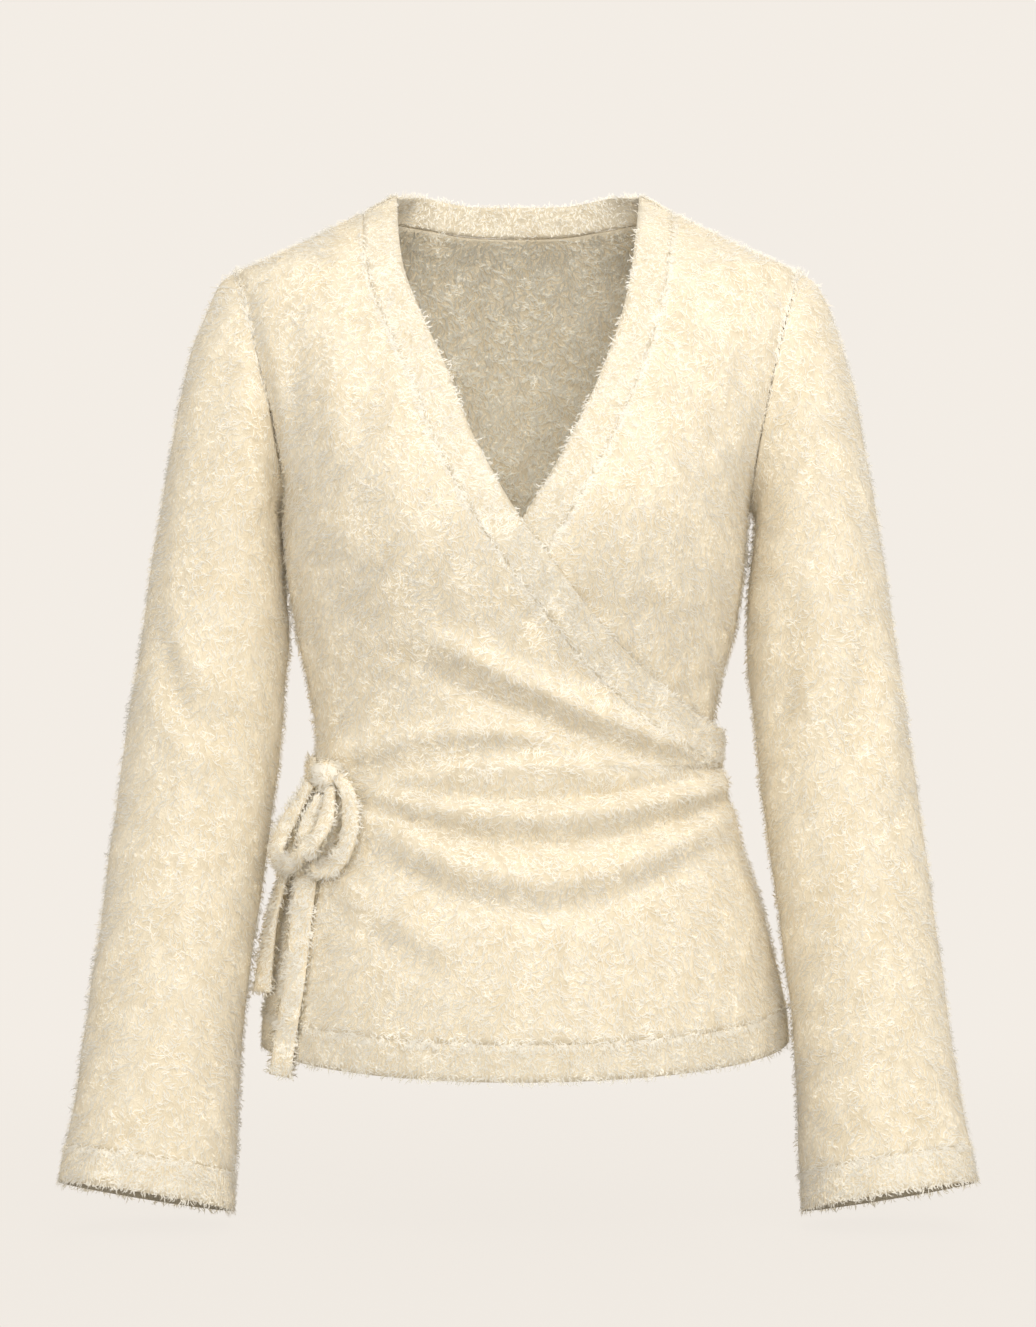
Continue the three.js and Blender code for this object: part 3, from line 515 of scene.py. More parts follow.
def scatter(points, normals, count, rng, weight=None, ring=False):
    """Places spread evenly over a grid by area, with their normals and the way down the rows."""
    if ring:
        points = np.concatenate([points, points[:, :1]], 1)
        normals = np.concatenate([normals, normals[:, :1]], 1)
    a, b, c, d = points[:-1, :-1], points[:-1, 1:], points[1:, 1:], points[1:, :-1]
    area = np.linalg.norm(np.cross(b - a, d - a), axis=-1) + np.linalg.norm(np.cross(b - c, d - c), axis=-1)
    if weight is not None:
        area = area * weight((a + b + c + d) / 4)
    flat = np.cumsum(area.ravel())
    cell = np.searchsorted(flat, (np.arange(count) + rng.random(count)) / count * flat[-1])
    cell = np.minimum(cell, area.size - 1)
    i, j = np.unravel_index(cell, area.shape)
    u, v = rng.random(count)[:, None], rng.random(count)[:, None]

    def mix(grid):
        top = grid[i, j] * (1 - u) + grid[i, j + 1] * u
        low = grid[i + 1, j] * (1 - u) + grid[i + 1, j + 1] * u
        return top * (1 - v) + low * v

    return mix(points), unit(mix(normals)), unit(points[i + 1, j] - points[i, j] + 1e-6)


def edging(points, normals, ways, count, rng):
    """Places along a row of points, with its normals and the way across the seam there."""
    t = rng.random(count) * (len(points) - 1.001)
    i, part = t.astype(int), (t % 1)[:, None]
    return tuple(unit_of(grid[i] * (1 - part) + grid[i + 1] * part) for unit_of, grid in (
        (lambda p: p, points), (unit, normals), (unit, ways)))


def joined(*sets):
    return [np.concatenate(parts) for parts in zip(*sets)]


def pile(name, roots, normals, down, material, length=8.0, width=0.6, rise=29.0, swirl=0.9, seed=1,
         segments=3, spread=0.65):
    """Tapered strands: heading = swirl * ripple + random; each stands up at its root and lies over.

    With heading h and rise e a step is L (cos e (cos h D + sin h S) + sin e N), D being the way down
    the cloth, N its normal and S = N x D. e falls and h turns along the strand.
    """
    rng = np.random.default_rng(seed)
    n = len(roots)
    down = unit(down - normals * (down * normals).sum(-1, keepdims=True))
    side = np.cross(normals, down)
    heading = swirl * (ripple(roots, 26, seed + 50) + 0.7 * ripple(roots, 9, seed + 51))
    heading = heading + rng.normal(0, spread, n)
    up = np.radians(rise + rng.normal(0, 9, n))
    curl = rng.normal(0, 0.75, n)
    reach = length * rng.uniform(0.55, 1.15, n) / segments
    points, ways = [roots - normals * 0.4], []
    for k in range(segments):
        e = up * (1 - 0.62 * k / max(1, segments - 1))
        h = heading + curl * (k - (segments - 1) / 2)
        way = (np.cos(e) * np.cos(h))[:, None] * down + (np.cos(e) * np.sin(h))[:, None] * side
        way = way + np.sin(e)[:, None] * normals
        ways.append(way)
        points.append(points[-1] + way * reach[:, None])
    verts, shade = [points[0]], [0.0]
    for k in range(1, segments):
        broad = unit(np.cross(ways[k - 1] + ways[k], normals)) * (width * (1.1 - 0.3 * k / segments) / 2)
        verts += [points[k] - broad, points[k] + broad]
        shade += [k / segments] * 2
    verts.append(points[-1])
    shade.append(1.0)
    per = len(verts)
    verts = np.stack(verts, 1)
    base = np.arange(n)[:, None] * per
    faces = [base + np.array([0, 1, 2][::-1])]
    for k in range(1, segments - 1):
        faces.append(base + np.array([2 * k - 1, 2 * k, 2 * k + 2, 2 * k + 1]))
    faces.append(base + np.array([2 * segments - 3, 2 * segments - 2, 2 * segments - 1]))
    # The strand's place from root to tip goes into the UV, where it paints the strand darker toward the root as
    # shade.
    tint = np.repeat(rng.random(n)[:, None] * 0.98 + 0.01, per, 1)
    along = np.repeat((np.array(shade) * 0.96 + 0.02)[None], n, 0)
    uv = np.stack([tint, along], -1).reshape(-1, 2)
    made = make_mesh(name, verts.reshape(-1, 3), faces, uv, material)
    soft = np.repeat(normals[:, None], per, 1) + 0.55 * unit(np.repeat(ways[1][:, None], per, 1))
    made.data.normals_split_custom_set_from_vertices(unit(soft).reshape(-1, 3).tolist())
    return made


# ---- Materials ----
def new_group(name, inputs, outputs):
    group = bpy.data.node_groups.new(name, "ShaderNodeTree")
    for label, kind, default in inputs:
        socket = group.interface.new_socket(label, in_out="INPUT", socket_type=kind)
        if default is not None:
            socket.default_value = default
    for label, kind in outputs:
        group.interface.new_socket(label, in_out="OUTPUT", socket_type=kind)
    return group, group.nodes.new("NodeGroupInput"), group.nodes.new("NodeGroupOutput")


def node(tree, kind, settings=None, values=None):
    made = tree.nodes.new(kind)
    for key, value in (settings or {}).items():
        setattr(made, key, value)
    for key, value in (values or {}).items():
        made.inputs[key].default_value = value
    return made


def knit_group():
    """Ground of the knit: short pile as bump, in streaks down the cloth that swirl, and their colour, painted
    darker in the bump's hollows as shade and varied in wide patches at random.
    """
    group, inside, out = new_group(
        "Knit ground",
        [("Vector", "NodeSocketVector", None), ("Light", "NodeSocketColor", (0.9, 0.8, 0.6, 1)),
         ("Dark", "NodeSocketColor", (0.6, 0.5, 0.3, 1)), ("Scale", "NodeSocketFloat", 900.0)],
        [("Color", "NodeSocketColor"), ("Height", "NodeSocketFloat")])
    swirl = node(group, "ShaderNodeTexNoise", values={"Scale": 75.0, "Detail": 1.0})
    shift = node(group, "ShaderNodeVectorMath", {"operation": "MULTIPLY_ADD"})
    shift.inputs[1].default_value = (0.016, 0.016, 0.016)
    narrow = node(group, "ShaderNodeVectorMath", {"operation": "MULTIPLY"})
    narrow.inputs[1].default_value = (1.0, 1.0, 0.24)
    fine = node(group, "ShaderNodeTexNoise", values={"Detail": 2.0, "Roughness": 0.55})
    wide = node(group, "ShaderNodeTexNoise", values={"Scale": 55.0, "Detail": 2.0})
    add = node(group, "ShaderNodeMath", {"operation": "ADD"})
    ramp = node(group, "ShaderNodeMapRange", values={"From Min": 0.7, "From Max": 1.25})
    mix = node(group, "ShaderNodeMix", {"data_type": "RGBA"})
    link = group.links.new
    link(inside.outputs["Vector"], swirl.inputs["Vector"])
    link(swirl.outputs["Color"], shift.inputs[0])
    link(inside.outputs["Vector"], shift.inputs[2])
    link(shift.outputs[0], narrow.inputs[0])
    link(narrow.outputs[0], fine.inputs["Vector"])
    link(inside.outputs["Scale"], fine.inputs["Scale"])
    link(inside.outputs["Vector"], wide.inputs["Vector"])
    # Painted shade: the colour's factor follows the bump's height, so the hollows are darker; the wide noise adds
    # random tone.
    link(fine.outputs["Fac"], add.inputs[0])
    link(wide.outputs["Fac"], add.inputs[1])
    link(add.outputs[0], ramp.inputs["Value"])
    link(ramp.outputs["Result"], mix.inputs["Factor"])
    link(inside.outputs["Dark"], mix.inputs["A"])
    link(inside.outputs["Light"], mix.inputs["B"])
    link(mix.outputs["Result"], out.inputs["Color"])
    link(fine.outputs["Fac"], out.inputs["Height"])
    return group


def strand_group():
    """Colour of a strand: painted darker toward the root as shade and light at the tip, some strands lighter than
    others.
    """
    group, inside, out = new_group(
        "Pile strand",
        [("Vector", "NodeSocketVector", None), ("Shaded root", "NodeSocketColor", (0.6, 0.5, 0.3, 1)),
         ("Tip", "NodeSocketColor", (0.95, 0.9, 0.8, 1))],
        [("Color", "NodeSocketColor")])
    split = node(group, "ShaderNodeSeparateXYZ")
    fade = node(group, "ShaderNodeMapRange", {"interpolation_type": "SMOOTHSTEP"},
                {"From Min": 0.05, "From Max": 0.6})
    mix = node(group, "ShaderNodeMix", {"data_type": "RGBA"})
    vary = node(group, "ShaderNodeMapRange", values={"To Min": 0.93, "To Max": 1.04})
    tone = node(group, "ShaderNodeMix", {"data_type": "RGBA", "blend_type": "MULTIPLY"}, {"Factor": 1.0})
    gray = node(group, "ShaderNodeCombineColor")
    link = group.links.new
    link(inside.outputs["Vector"], split.inputs[0])
    # Painted shade: the strand is darker toward its root, where the cloth and the other strands shade it.
    link(split.outputs["Y"], fade.inputs["Value"])
    link(fade.outputs["Result"], mix.inputs["Factor"])
    link(inside.outputs["Shaded root"], mix.inputs["A"])
    link(inside.outputs["Tip"], mix.inputs["B"])
    link(split.outputs["X"], vary.inputs["Value"])
    for channel in ("Red", "Green", "Blue"):
        link(vary.outputs["Result"], gray.inputs[channel])
    link(mix.outputs["Result"], tone.inputs["A"])
    link(gray.outputs["Color"], tone.inputs["B"])
    link(tone.outputs["Result"], out.inputs["Color"])
    return group


def new_material(name, roughness, sheen):
    material = bpy.data.materials.new(name)
    material.use_nodes = True
    shader = material.node_tree.nodes["Principled BSDF"]
    shader.inputs["Roughness"].default_value = roughness
    shader.inputs["Specular IOR Level"].default_value = 0.15
    shader.inputs["Sheen Weight"].default_value = sheen
    shader.inputs["Sheen Roughness"].default_value = 0.5
    return material, material.node_tree, shader


def knit_material(name, light, dark, scale, bump):
    material, tree, shader = new_material(name, 0.95, 0.25)
    group = node(tree, "ShaderNodeGroup", {"node_tree": bpy.data.node_groups.get("Knit ground") or knit_group()})
    group.inputs["Light"].default_value = tuple(light) + (1,)
    group.inputs["Dark"].default_value = tuple(dark) + (1,)
    group.inputs["Scale"].default_value = scale
    place = node(tree, "ShaderNodeTexCoord")
    raised = node(tree, "ShaderNodeBump", values={"Strength": bump, "Distance": 0.001})
    link = tree.links.new
    link(place.outputs["Object"], group.inputs["Vector"])
    link(group.outputs["Color"], shader.inputs["Base Color"])
    link(group.outputs["Height"], raised.inputs["Height"])
    link(raised.outputs["Normal"], shader.inputs["Normal"])
    return material


def strand_material(name, root, tip):
    material, tree, shader = new_material(name, 0.85, 0.3)
    group = node(tree, "ShaderNodeGroup", {"node_tree": bpy.data.node_groups.get("Pile strand") or strand_group()})
    group.inputs["Shaded root"].default_value = tuple(root) + (1,)
    group.inputs["Tip"].default_value = tuple(tip) + (1,)
    place = node(tree, "ShaderNodeUVMap", {"uv_map": "OFBake"})
    behind = node(tree, "ShaderNodeBsdfTranslucent")  # the far face is lit as brightly as the near one
    face, mix = tree.nodes.new("ShaderNodeNewGeometry"), tree.nodes.new("ShaderNodeMixShader")
    link = tree.links.new
    link(place.outputs["UV"], group.inputs["Vector"])
    link(group.outputs["Color"], shader.inputs["Base Color"])
    link(group.outputs["Color"], behind.inputs["Color"])
    link(face.outputs["Backfacing"], mix.inputs[0])
    link(shader.outputs[0], mix.inputs[1])
    link(behind.outputs[0], mix.inputs[2])
    link(mix.outputs[0], tree.nodes["Material Output"].inputs[0])
    return material


def finish_of(look):
    """The cardigan's materials, made once from the settings."""
    if "Cardigan knit" not in bpy.data.materials:
        knit_material("Cardigan knit", look.ground, look.shade, 1500.0, 0.8)
        knit_material("Cardigan rib", look.band, look.shade, 1500.0, 0.8)
        knit_material("Cardigan strap", look.ground, look.shade, 1500.0, 0.7)
        strand_material("Cardigan pile", look.root, look.tip)
        # Painted shade: the band pile is a darker copy of the pile, with the band colour at its root and its tip at
        # 0.96 of the pile tip, standing in for shade on the bands.
        strand_material("Cardigan band pile", look.band, [0.96 * part for part in look.tip])
        # Painted light: the inner pile is a lighter copy of the pile, standing in for light that the inside of the
        # back gets too little of; it too is darker toward the root as painted shade.
        strand_material("Cardigan inner pile", (0.95, 0.88, 0.71), (1.0, 0.97, 0.86))
    return lambda name: bpy.data.materials["Cardigan " + name]


# ---- Pieces ----
def place(piece, slot, replaces=None):
    """Puts a piece on the frame and hides the CAD node it stands for; the slot is not used."""
    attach(piece, "root")
    if replaces:
        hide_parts(replaces)
    return piece


def levels_between(top, bottom, step):
    return np.linspace(top, bottom, max(2, int(round(abs(top - bottom) / step)) + 1))


def panel_grid(levels, left, right, columns, face, step):
    """Places s, z of a panel: level rows, then rows that bend down to the hem seam."""
    part = np.linspace(0, 1, columns)[None]
    z = levels[:, None]
    s = lerp(left(z), right(z), part)
    z = np.broadcast_to(z, s.shape)
    last = s[-1]
    seam = hem_at(last, face) + BAND + SEAM
    count = int(round((LEVEL_END - (HEM_SIDE + BAND)) / step)) + 1
    t = np.linspace(0, 1, count + 1)[1:, None]
    low = lerp(LEVEL_END, seam[None], t)
    return np.concatenate([s, np.broadcast_to(last, low.shape)]), np.concatenate([z, low])


def cloth(name, surface, s, z, material, lift=0.0, soft=0.0, seed=3, ribs=None):
    """A shell on a surface at places s, z. Returns the piece, its outer grid and its normals."""
    outer = surface(s, z)
    normals = grid_normals(outer)
    facing = normal_of(surface, s, z)
    way = 1 if (normals * facing).sum() > 0 else -1
    normals = normals * way
    raised = lift + soft * ripple(outer, 45, seed)
    if ribs is not None:
        raised = raised + ribs
    inner = outer + normals * (lift - WALL)
    outer = outer + normals * np.asarray(raised)[..., None]
    return shell(name, outer, inner, material, flip=way < 0), outer, normals


def rib_wave(points, axis, pitch=2.4, height=0.28):
    """Ribs: height * cos(2 pi L / pitch), L being the length along the band's middle row."""
    steps = np.linalg.norm(np.diff(points, axis=axis), axis=-1)
    middle = steps[steps.shape[0] // 2] if axis == 1 else steps[:, steps.shape[1] // 2]
    length = np.concatenate([[0], np.cumsum(middle)])
    wave = height * np.cos(2 * math.pi * length / pitch)
    return wave[None, :] if axis == 1 else wave[:, None]


def hem_grid(last_s, face, columns=560, rows=5):
    s = np.linspace(last_s[0], last_s[-1], columns)[None]
    part = np.linspace(0, 1, rows)[:, None]
    return np.broadcast_to(s, (rows, columns)), hem_at(s, face) + BAND * (1 - part)


def neck_grid(seam, direction, levels, columns=6):
    """Places of a neck band: from its seam BAND across it, and along the shoulder line at its top."""
    z = levels[:, None]
    slope = (seam(z + 1) - seam(z - 1)) / 2
    length = np.hypot(slope, 1)
    top = smooth(-45, NECK_SEAM[1], z)
    dx = lerp(direction / length, direction * 0.91, top)
    dz = lerp(-direction * slope / length, 0.5, top)
    reach = np.linspace(0, 1, columns)[None] * BAND
    x, level = seam(z) + dx * reach, np.minimum(-0.6, z + dz * reach)
    return np.minimum(OVER_END, across_at(x, level)), level


def uncovered(points):
    """1 where the under front shows beside the over front, 0 where it is covered, with a soft edge."""
    edge = over_seam(points[..., 2]) + BAND * 0.8
    return smooth(-6, 6, points[..., 0] - edge) * (points[..., 2] > SEAM_END - 6) + 0.0


def make_back(look):
    mat = finish_of(look)
    rng = np.random.default_rng(11)
    levels = levels_between(-26, LEVEL_END, 6.5)
    edge = lambda z: 1 - edge_gap(z, 1)
    s, z = panel_grid(levels, lambda z: -edge(z), edge, 60, 1, 6.5)
    x = np.linspace(-1, 1, 60) * NECK_SEAM[0]
    neck_z = back_seam(np.abs(x)) - SEAM
    neck_s = across_at(x * 0.995, neck_z, 1)
    t = np.linspace(0, 1, 6)[:-1, None]
    s = np.concatenate([lerp(neck_s[None], s[:1], t), s])
    z = np.concatenate([lerp(neck_z[None], z[:1], t), z])
    body, outer, normals = cloth("Back", back_surface, s, z, mat("knit"), soft=0.5, seed=21)
    place(body, "pile", "back")
    roots = joined(scatter(outer, normals, int(22500 * look.density), rng),
                   edging(outer[-1], normals[-1], outer[-1] - outer[-2], 900, rng))
    fur = place(pile("Back pile", *roots, mat("pile"), look.pile_length / MM, seed=31), "pile")
    # The back's inner pile uses the lighter inner pile material: painted light inside the back.
    inside = scatter(outer - normals * WALL, -normals, int(13500 * look.density), rng,
                     weight=lambda p: (p[..., 2] > -240) * (np.abs(p[..., 0]) < 95) + 0.02)
    lining = place(pile("Back inner pile", *inside, mat("inner pile"), 7.5, 0.85, 34, seed=33), "pile")

    hs, hz = hem_grid(s[-1], 1)
    first = back_surface(hs, hz)
    hem, outer, normals = cloth("Back hem", back_surface, hs, hz, mat("rib"), ribs=rib_wave(first, 1))
    place(hem, "rib", "hem_back")
    roots = scatter(outer, normals, int(4500 * look.density), rng)
    fur = place(pile("Back hem pile", *roots, mat("band pile"), 5.6, rise=24, swirl=0.9, seed=35), "rib")

    columns = 320
    x = np.linspace(-1, 1, columns) * NECK_SEAM[0]
    part = np.linspace(0, 1, 9)[:, None]
    seam_z = back_seam(np.abs(x))
    lean = (NECK_SEAM[0] - NECK_POINT) * smooth(45, NECK_SEAM[0], np.abs(x)) * np.sign(x)
    y = back_surface(across_at(x, seam_z, 1), seam_z)[:, 1]
    band = np.stack([x[None] - lean * part, y[None] - 3 * part,
                     lerp(seam_z[None], band_top(np.abs(x))[None], part)], -1)
    side = smooth(45, NECK_SEAM[0], np.abs(band[..., 0]) / 0.9) * np.sign(band[..., 0])
    inner = band + np.stack([-0.55 * side, side ** 2 - 1, -0.8 * side ** 2], -1) * WALL
    way = unit(band - inner)
    band = band + way * rib_wave(band, 1)[..., None]
    made = place(shell("Back neck band", band, inner, mat("rib"), flip=True), "rib", "neck_band_back")
    roots = joined(scatter(band, way, int(2200 * look.density), rng),
                   edging(band[:, 0], way[:, 0], band[:, 0] - band[:, 1], 130, rng),
                   edging(band[:, -1], way[:, -1], band[:, -1] - band[:, -2], 130, rng))
    fur = place(pile("Back neck band pile", *roots, mat("band pile"), 5.6, rise=24, swirl=0.9, seed=37), "rib")
    roots = scatter(inner, -way, int(1500 * look.density), rng)
    lining = place(pile("Back neck band inner pile", *roots, mat("band pile"), 4.6, rise=32, swirl=0.8,
                        seed=38), "rib")


def make_front(look, over):
    mat = finish_of(look)
    rng = np.random.default_rng(12 if over else 13)
    name = "Over front" if over else "Under front"
    surface = over_front if over else under_front
    seam = over_seam if over else under_seam
    step = 4.4 if over else 7.0
    gap = lambda z: 0.15 + 0.3 * smooth(-32, -16, z)
    if over:
        left = lambda z: -1 + edge_gap(z, -1)
        right = lambda z: np.minimum(OVER_END, np.where(z > SEAM_END, across_at(seam(z) - gap(z), z), 1))
    else:
        left = lambda z: np.where(z > SEAM_END, across_at(seam(z) + gap(z), z), UNDER_END)
        right = lambda z: 1 - edge_gap(z, -1)
    s, z = panel_grid(levels_between(-12.6, LEVEL_END, step), left, right, 90 if over else 50, -1, step)
    body, outer, normals = cloth(name, surface, s, z, mat("knit"), soft=0.5, seed=22 + over)
    place(body, "pile", "front_over" if over else "front_under")
    count = 34500 if over else 10500
    roots = scatter(outer, normals, int(count * look.density), rng, weight=None if over else uncovered)
    top, last, next_in = z[:, 0] > -60, 0 if over else -1, 1 if over else -2
    across = (outer[:, last] - outer[:, next_in])[top]
    roots = joined(roots, edging(outer[top, last], normals[top, last], across, 180, rng))
    if over:
        roots = joined(roots, edging(outer[-1], normals[-1], outer[-1] - outer[-2], 1000, rng))
    fur = place(pile(name + " pile", *roots, mat("pile"), look.pile_length / MM, seed=41 + over), "pile")

    hs, hz = hem_grid(s[-1], -1)
    ribs = rib_wave(surface(hs, hz), 1)
    hem, outer, normals = cloth(name + " hem", surface, hs, hz, mat("rib"), ribs=ribs)
    place(hem, "rib", "hem_over" if over else "hem_under")
    going = []
    if over:
        roots = scatter(outer, normals, int(4500 * look.density), rng)
        going = [place(pile("Over front hem pile", *roots, mat("band pile"), 5.6, rise=24, swirl=0.9, seed=45),
                       "rib")]

    end = SEAM_END + 0.6 if over else -345
    levels = levels_between(NECK_SEAM[1], end, 0.8)
    bs, bz = neck_grid(seam, 1 if over else -1, levels)
    ribs = rib_wave(surface(bs, bz), 0)
    band, outer, normals = cloth(name + " neck band", surface, bs, bz, mat("rib"), lift=0.3 if over else 0.0,
                                 ribs=ribs)
    place(band, "rib", "neck_band_over" if over else "neck_band_under")
    weight = None if over else (lambda p: uncovered(p) + (p[..., 2] > -235))
    seen = slice(None) if over else slice(0, int(len(levels) * 0.7))
    roots = joined(scatter(outer, normals, int((6400 if over else 3000) * look.density), rng, weight=weight),
                   edging(outer[seen, 0], normals[seen, 0], (outer[:, 0] - outer[:, 1])[seen], 1000, rng),
                   edging(outer[0], normals[0], outer[0] - outer[1], 150, rng))
    fur = place(pile(name + " neck band pile", *roots, mat("band pile"), 5.8, rise=24, swirl=0.9,
                     seed=47 + over), "rib")


def around(angle, z):
    """Degrees round a sleeve as millimetres on its cloth."""
    return angle * math.pi * 50 / 180, z


def sleeve_surface(side):
    """Rings whose x = X + A cos t, z = Z + C cos t and y = Y - depth sin t, leaning forward."""
    numbered = [(i, *row) for i, row in enumerate(SLEEVE)]
    read = [through(numbered, 0, k + 1) for k in range(8)]
    folds = [(around(*a), around(*b), around(*c), height, half)
             for a, b, c, height, half in (SLEEVE_FOLDS_LEFT if side > 0 else SLEEVE_FOLDS_RIGHT)]

    def surface(turn, i):
        x_out, z_out, x_in, z_in, y, front, behind, lean = [r(i) for r in read]
        x, z, ax, az = (x_out + x_in) / 2, (z_out + z_in) / 2, (x_out - x_in) / 2, (z_out - z_in) / 2
        cos, sin = np.cos(turn), np.sin(turn)
        depth = np.where(sin > 0, front, behind)
        full = np.sign(sin) * np.abs(sin) ** lerp(ARM_CURVE, 1, smooth(0, 4, i))
        cut_in = np.where(sin > 0, ARM_IN_FRONT, ARM_IN_BACK) * np.abs(full) * smooth(4, 0, i)
        rise = np.tan(np.radians(lean)) * depth * full
        point = np.stack(np.broadcast_arrays(x + ax * cos - cut_in, y - depth * full, z + az * cos + rise), -1)
        u, v = around(np.degrees(turn), point[..., 2])
        out = unit(np.stack(np.broadcast_arrays(ax * cos, -depth * sin, az * cos), -1))
        return (point + out * (fold_height(folds, u, v) * smooth(0, 2, i))[..., None]) * np.array([side, 1, 1])

    return surface


def make_sleeve(look, side):
    mat = finish_of(look)
    rng = np.random.default_rng(15 + side)
    name = "Left" if side > 0 else "Right"
    surface = sleeve_surface(side)
    end = len(SLEEVE) - 2
    for label, start, stop, rows, columns in (
            ("sleeve", 0, end, 104, 52), ("cuff", end + SEAM / 26, end + 1, 5, 480)):
        turn = np.linspace(0, 2 * math.pi, columns + 1)[None, :-1]
        level = np.linspace(start, stop, rows)[:, None]
        outer = surface(*np.broadcast_arrays(turn, level))
        if label == "sleeve":
            outer[0] += np.array([side * 0.8, 0, -0.2])
        normals = grid_normals(outer, ring=True)
        middle = outer.mean(axis=1, keepdims=True)
        way = 1 if ((outer - middle) * normals).sum() > 0 else -1
        normals = normals * way
        inner = outer - normals * WALL
        if label == "sleeve":
            outer = outer + normals * (0.5 * ripple(outer, 45, 27 + side))[..., None]
        else:
            outer = outer + normals * (0.3 * np.cos(turn * round(300 / 2.4)))[..., None]
        slot = "pile" if label == "sleeve" else "rib"
        body = place(shell(f"{name} {label}", outer, inner, mat("knit" if label == "sleeve" else "rib"),
                           ring=True, flip=way < 0), slot, f"{label}_{name.lower()}")
        count = int((26300 if label == "sleeve" else 4800) * look.density)
        roots = scatter(outer, normals, count, rng, ring=True)
        if label == "sleeve":
            roots = joined(roots, edging(outer[0], normals[0], outer[0] - outer[1], 1300, rng),
                           edging(outer[-1], normals[-1], outer[-1] - outer[-2], 600, rng))
            fur = pile(f"{name} sleeve pile", *roots, mat("pile"), look.pile_length / MM, seed=51 + side)
        else:
            fur = pile(f"{name} cuff pile", *roots, mat("band pile"), 5.6, rise=24, swirl=0.9, seed=55 + side)
        place(fur, slot)


def lying_grid(stations, width, across=7):
    """A tie that lies on the body: its outside and inside, at stations of turn and middle height."""
    outside, inside = [], []
    for turn, middle in stations:
        surface = back_surface if turn <= 270 else over_front
        s = (180 - turn) / 90 if turn <= 270 else (turn - 360) / 90
        z = np.linspace(middle + width / 2, middle - width / 2, across)
        point, normal = surface(np.full(across, s), z), normal_of(surface, np.full(across, s), z)
        crown = 1 - 0.45 * np.abs(np.linspace(-1, 1, across)) ** 3
        outside.append(point + normal * (TIE_OFFSET + TIE_THICK * crown)[:, None])
        inside.append(point + normal * TIE_OFFSET)
    return np.array(outside), np.array(inside)


def strap_rings(table, width, thick, steps, pinch, around_count=14, wave=0.0):
    """Rings of a soft strap along a curve: a flat oval |x / a|^2.6 + |y / b|^2.6 = 1."""
    t = np.linspace(0, 1, steps)
    path, across = spline([row[0] for row in table]), spline([row[1] for row in table])
    centre = path(t)
    tangent = unit(np.gradient(centre, axis=0))
    side = across(t)
    side = unit(side - tangent * (side * tangent).sum(-1, keepdims=True))
    up = np.cross(tangent, side)
    squeeze = np.minimum(lerp(pinch[0], 1, smooth(0, 0.2, t)), lerp(pinch[1], 1, smooth(1, 0.8, t)))
    angle = np.linspace(0, 2 * math.pi, around_count + 1)[:-1]
    a = np.sign(np.cos(angle)) * np.abs(np.cos(angle)) ** (2 / 2.6)
    b = np.sign(np.sin(angle)) * np.abs(np.sin(angle)) ** (2 / 2.6)
    half_width = (width * squeeze / 2)[:, None]
    points = centre[:, None] + side[:, None] * (half_width * a)[..., None] + up[:, None] * (thick * 0.62 * b)[None, :, None]
    normals = side[:, None] * (a * 0.35)[None, :, None] + up[:, None] * b[None, :, None]
    return points, unit(np.broadcast_to(normals, points.shape)), centre


def tube(name, rings, material):
    """A closed tube through rings of points, with a fan at each end."""
    rows, columns = rings.shape[:2]
    points = np.concatenate([rings.reshape(-1, 3), rings[:1].mean(1), rings[-1:].mean(1)])
    j = np.arange(columns)
    last = (rows - 1) * columns
    ends = [np.stack([(j + 1) % columns, j, np.full(columns, rows * columns)], -1),
            np.stack([last + j, last + (j + 1) % columns, np.full(columns, rows * columns + 1)], -1)]
    quads = grid_faces(rows, columns, 0, True)
    v, u = np.meshgrid(np.linspace(0.02, 0.98, rows), np.linspace(0.02, 0.9, columns), indexing="ij")
    uv = np.concatenate([np.stack([u, v], -1).reshape(-1, 2), [[0.95, 0.02], [0.95, 0.98]]])
    a, b, c = points[quads[:, 0]], points[quads[:, 1]], points[quads[:, 2]]
    volume = (a * np.cross(b, c)).sum()
    faces = [quads, *ends]
    if volume < 0:
        faces = [f[:, ::-1] for f in faces]
    return make_mesh(name, points, faces, uv, material)


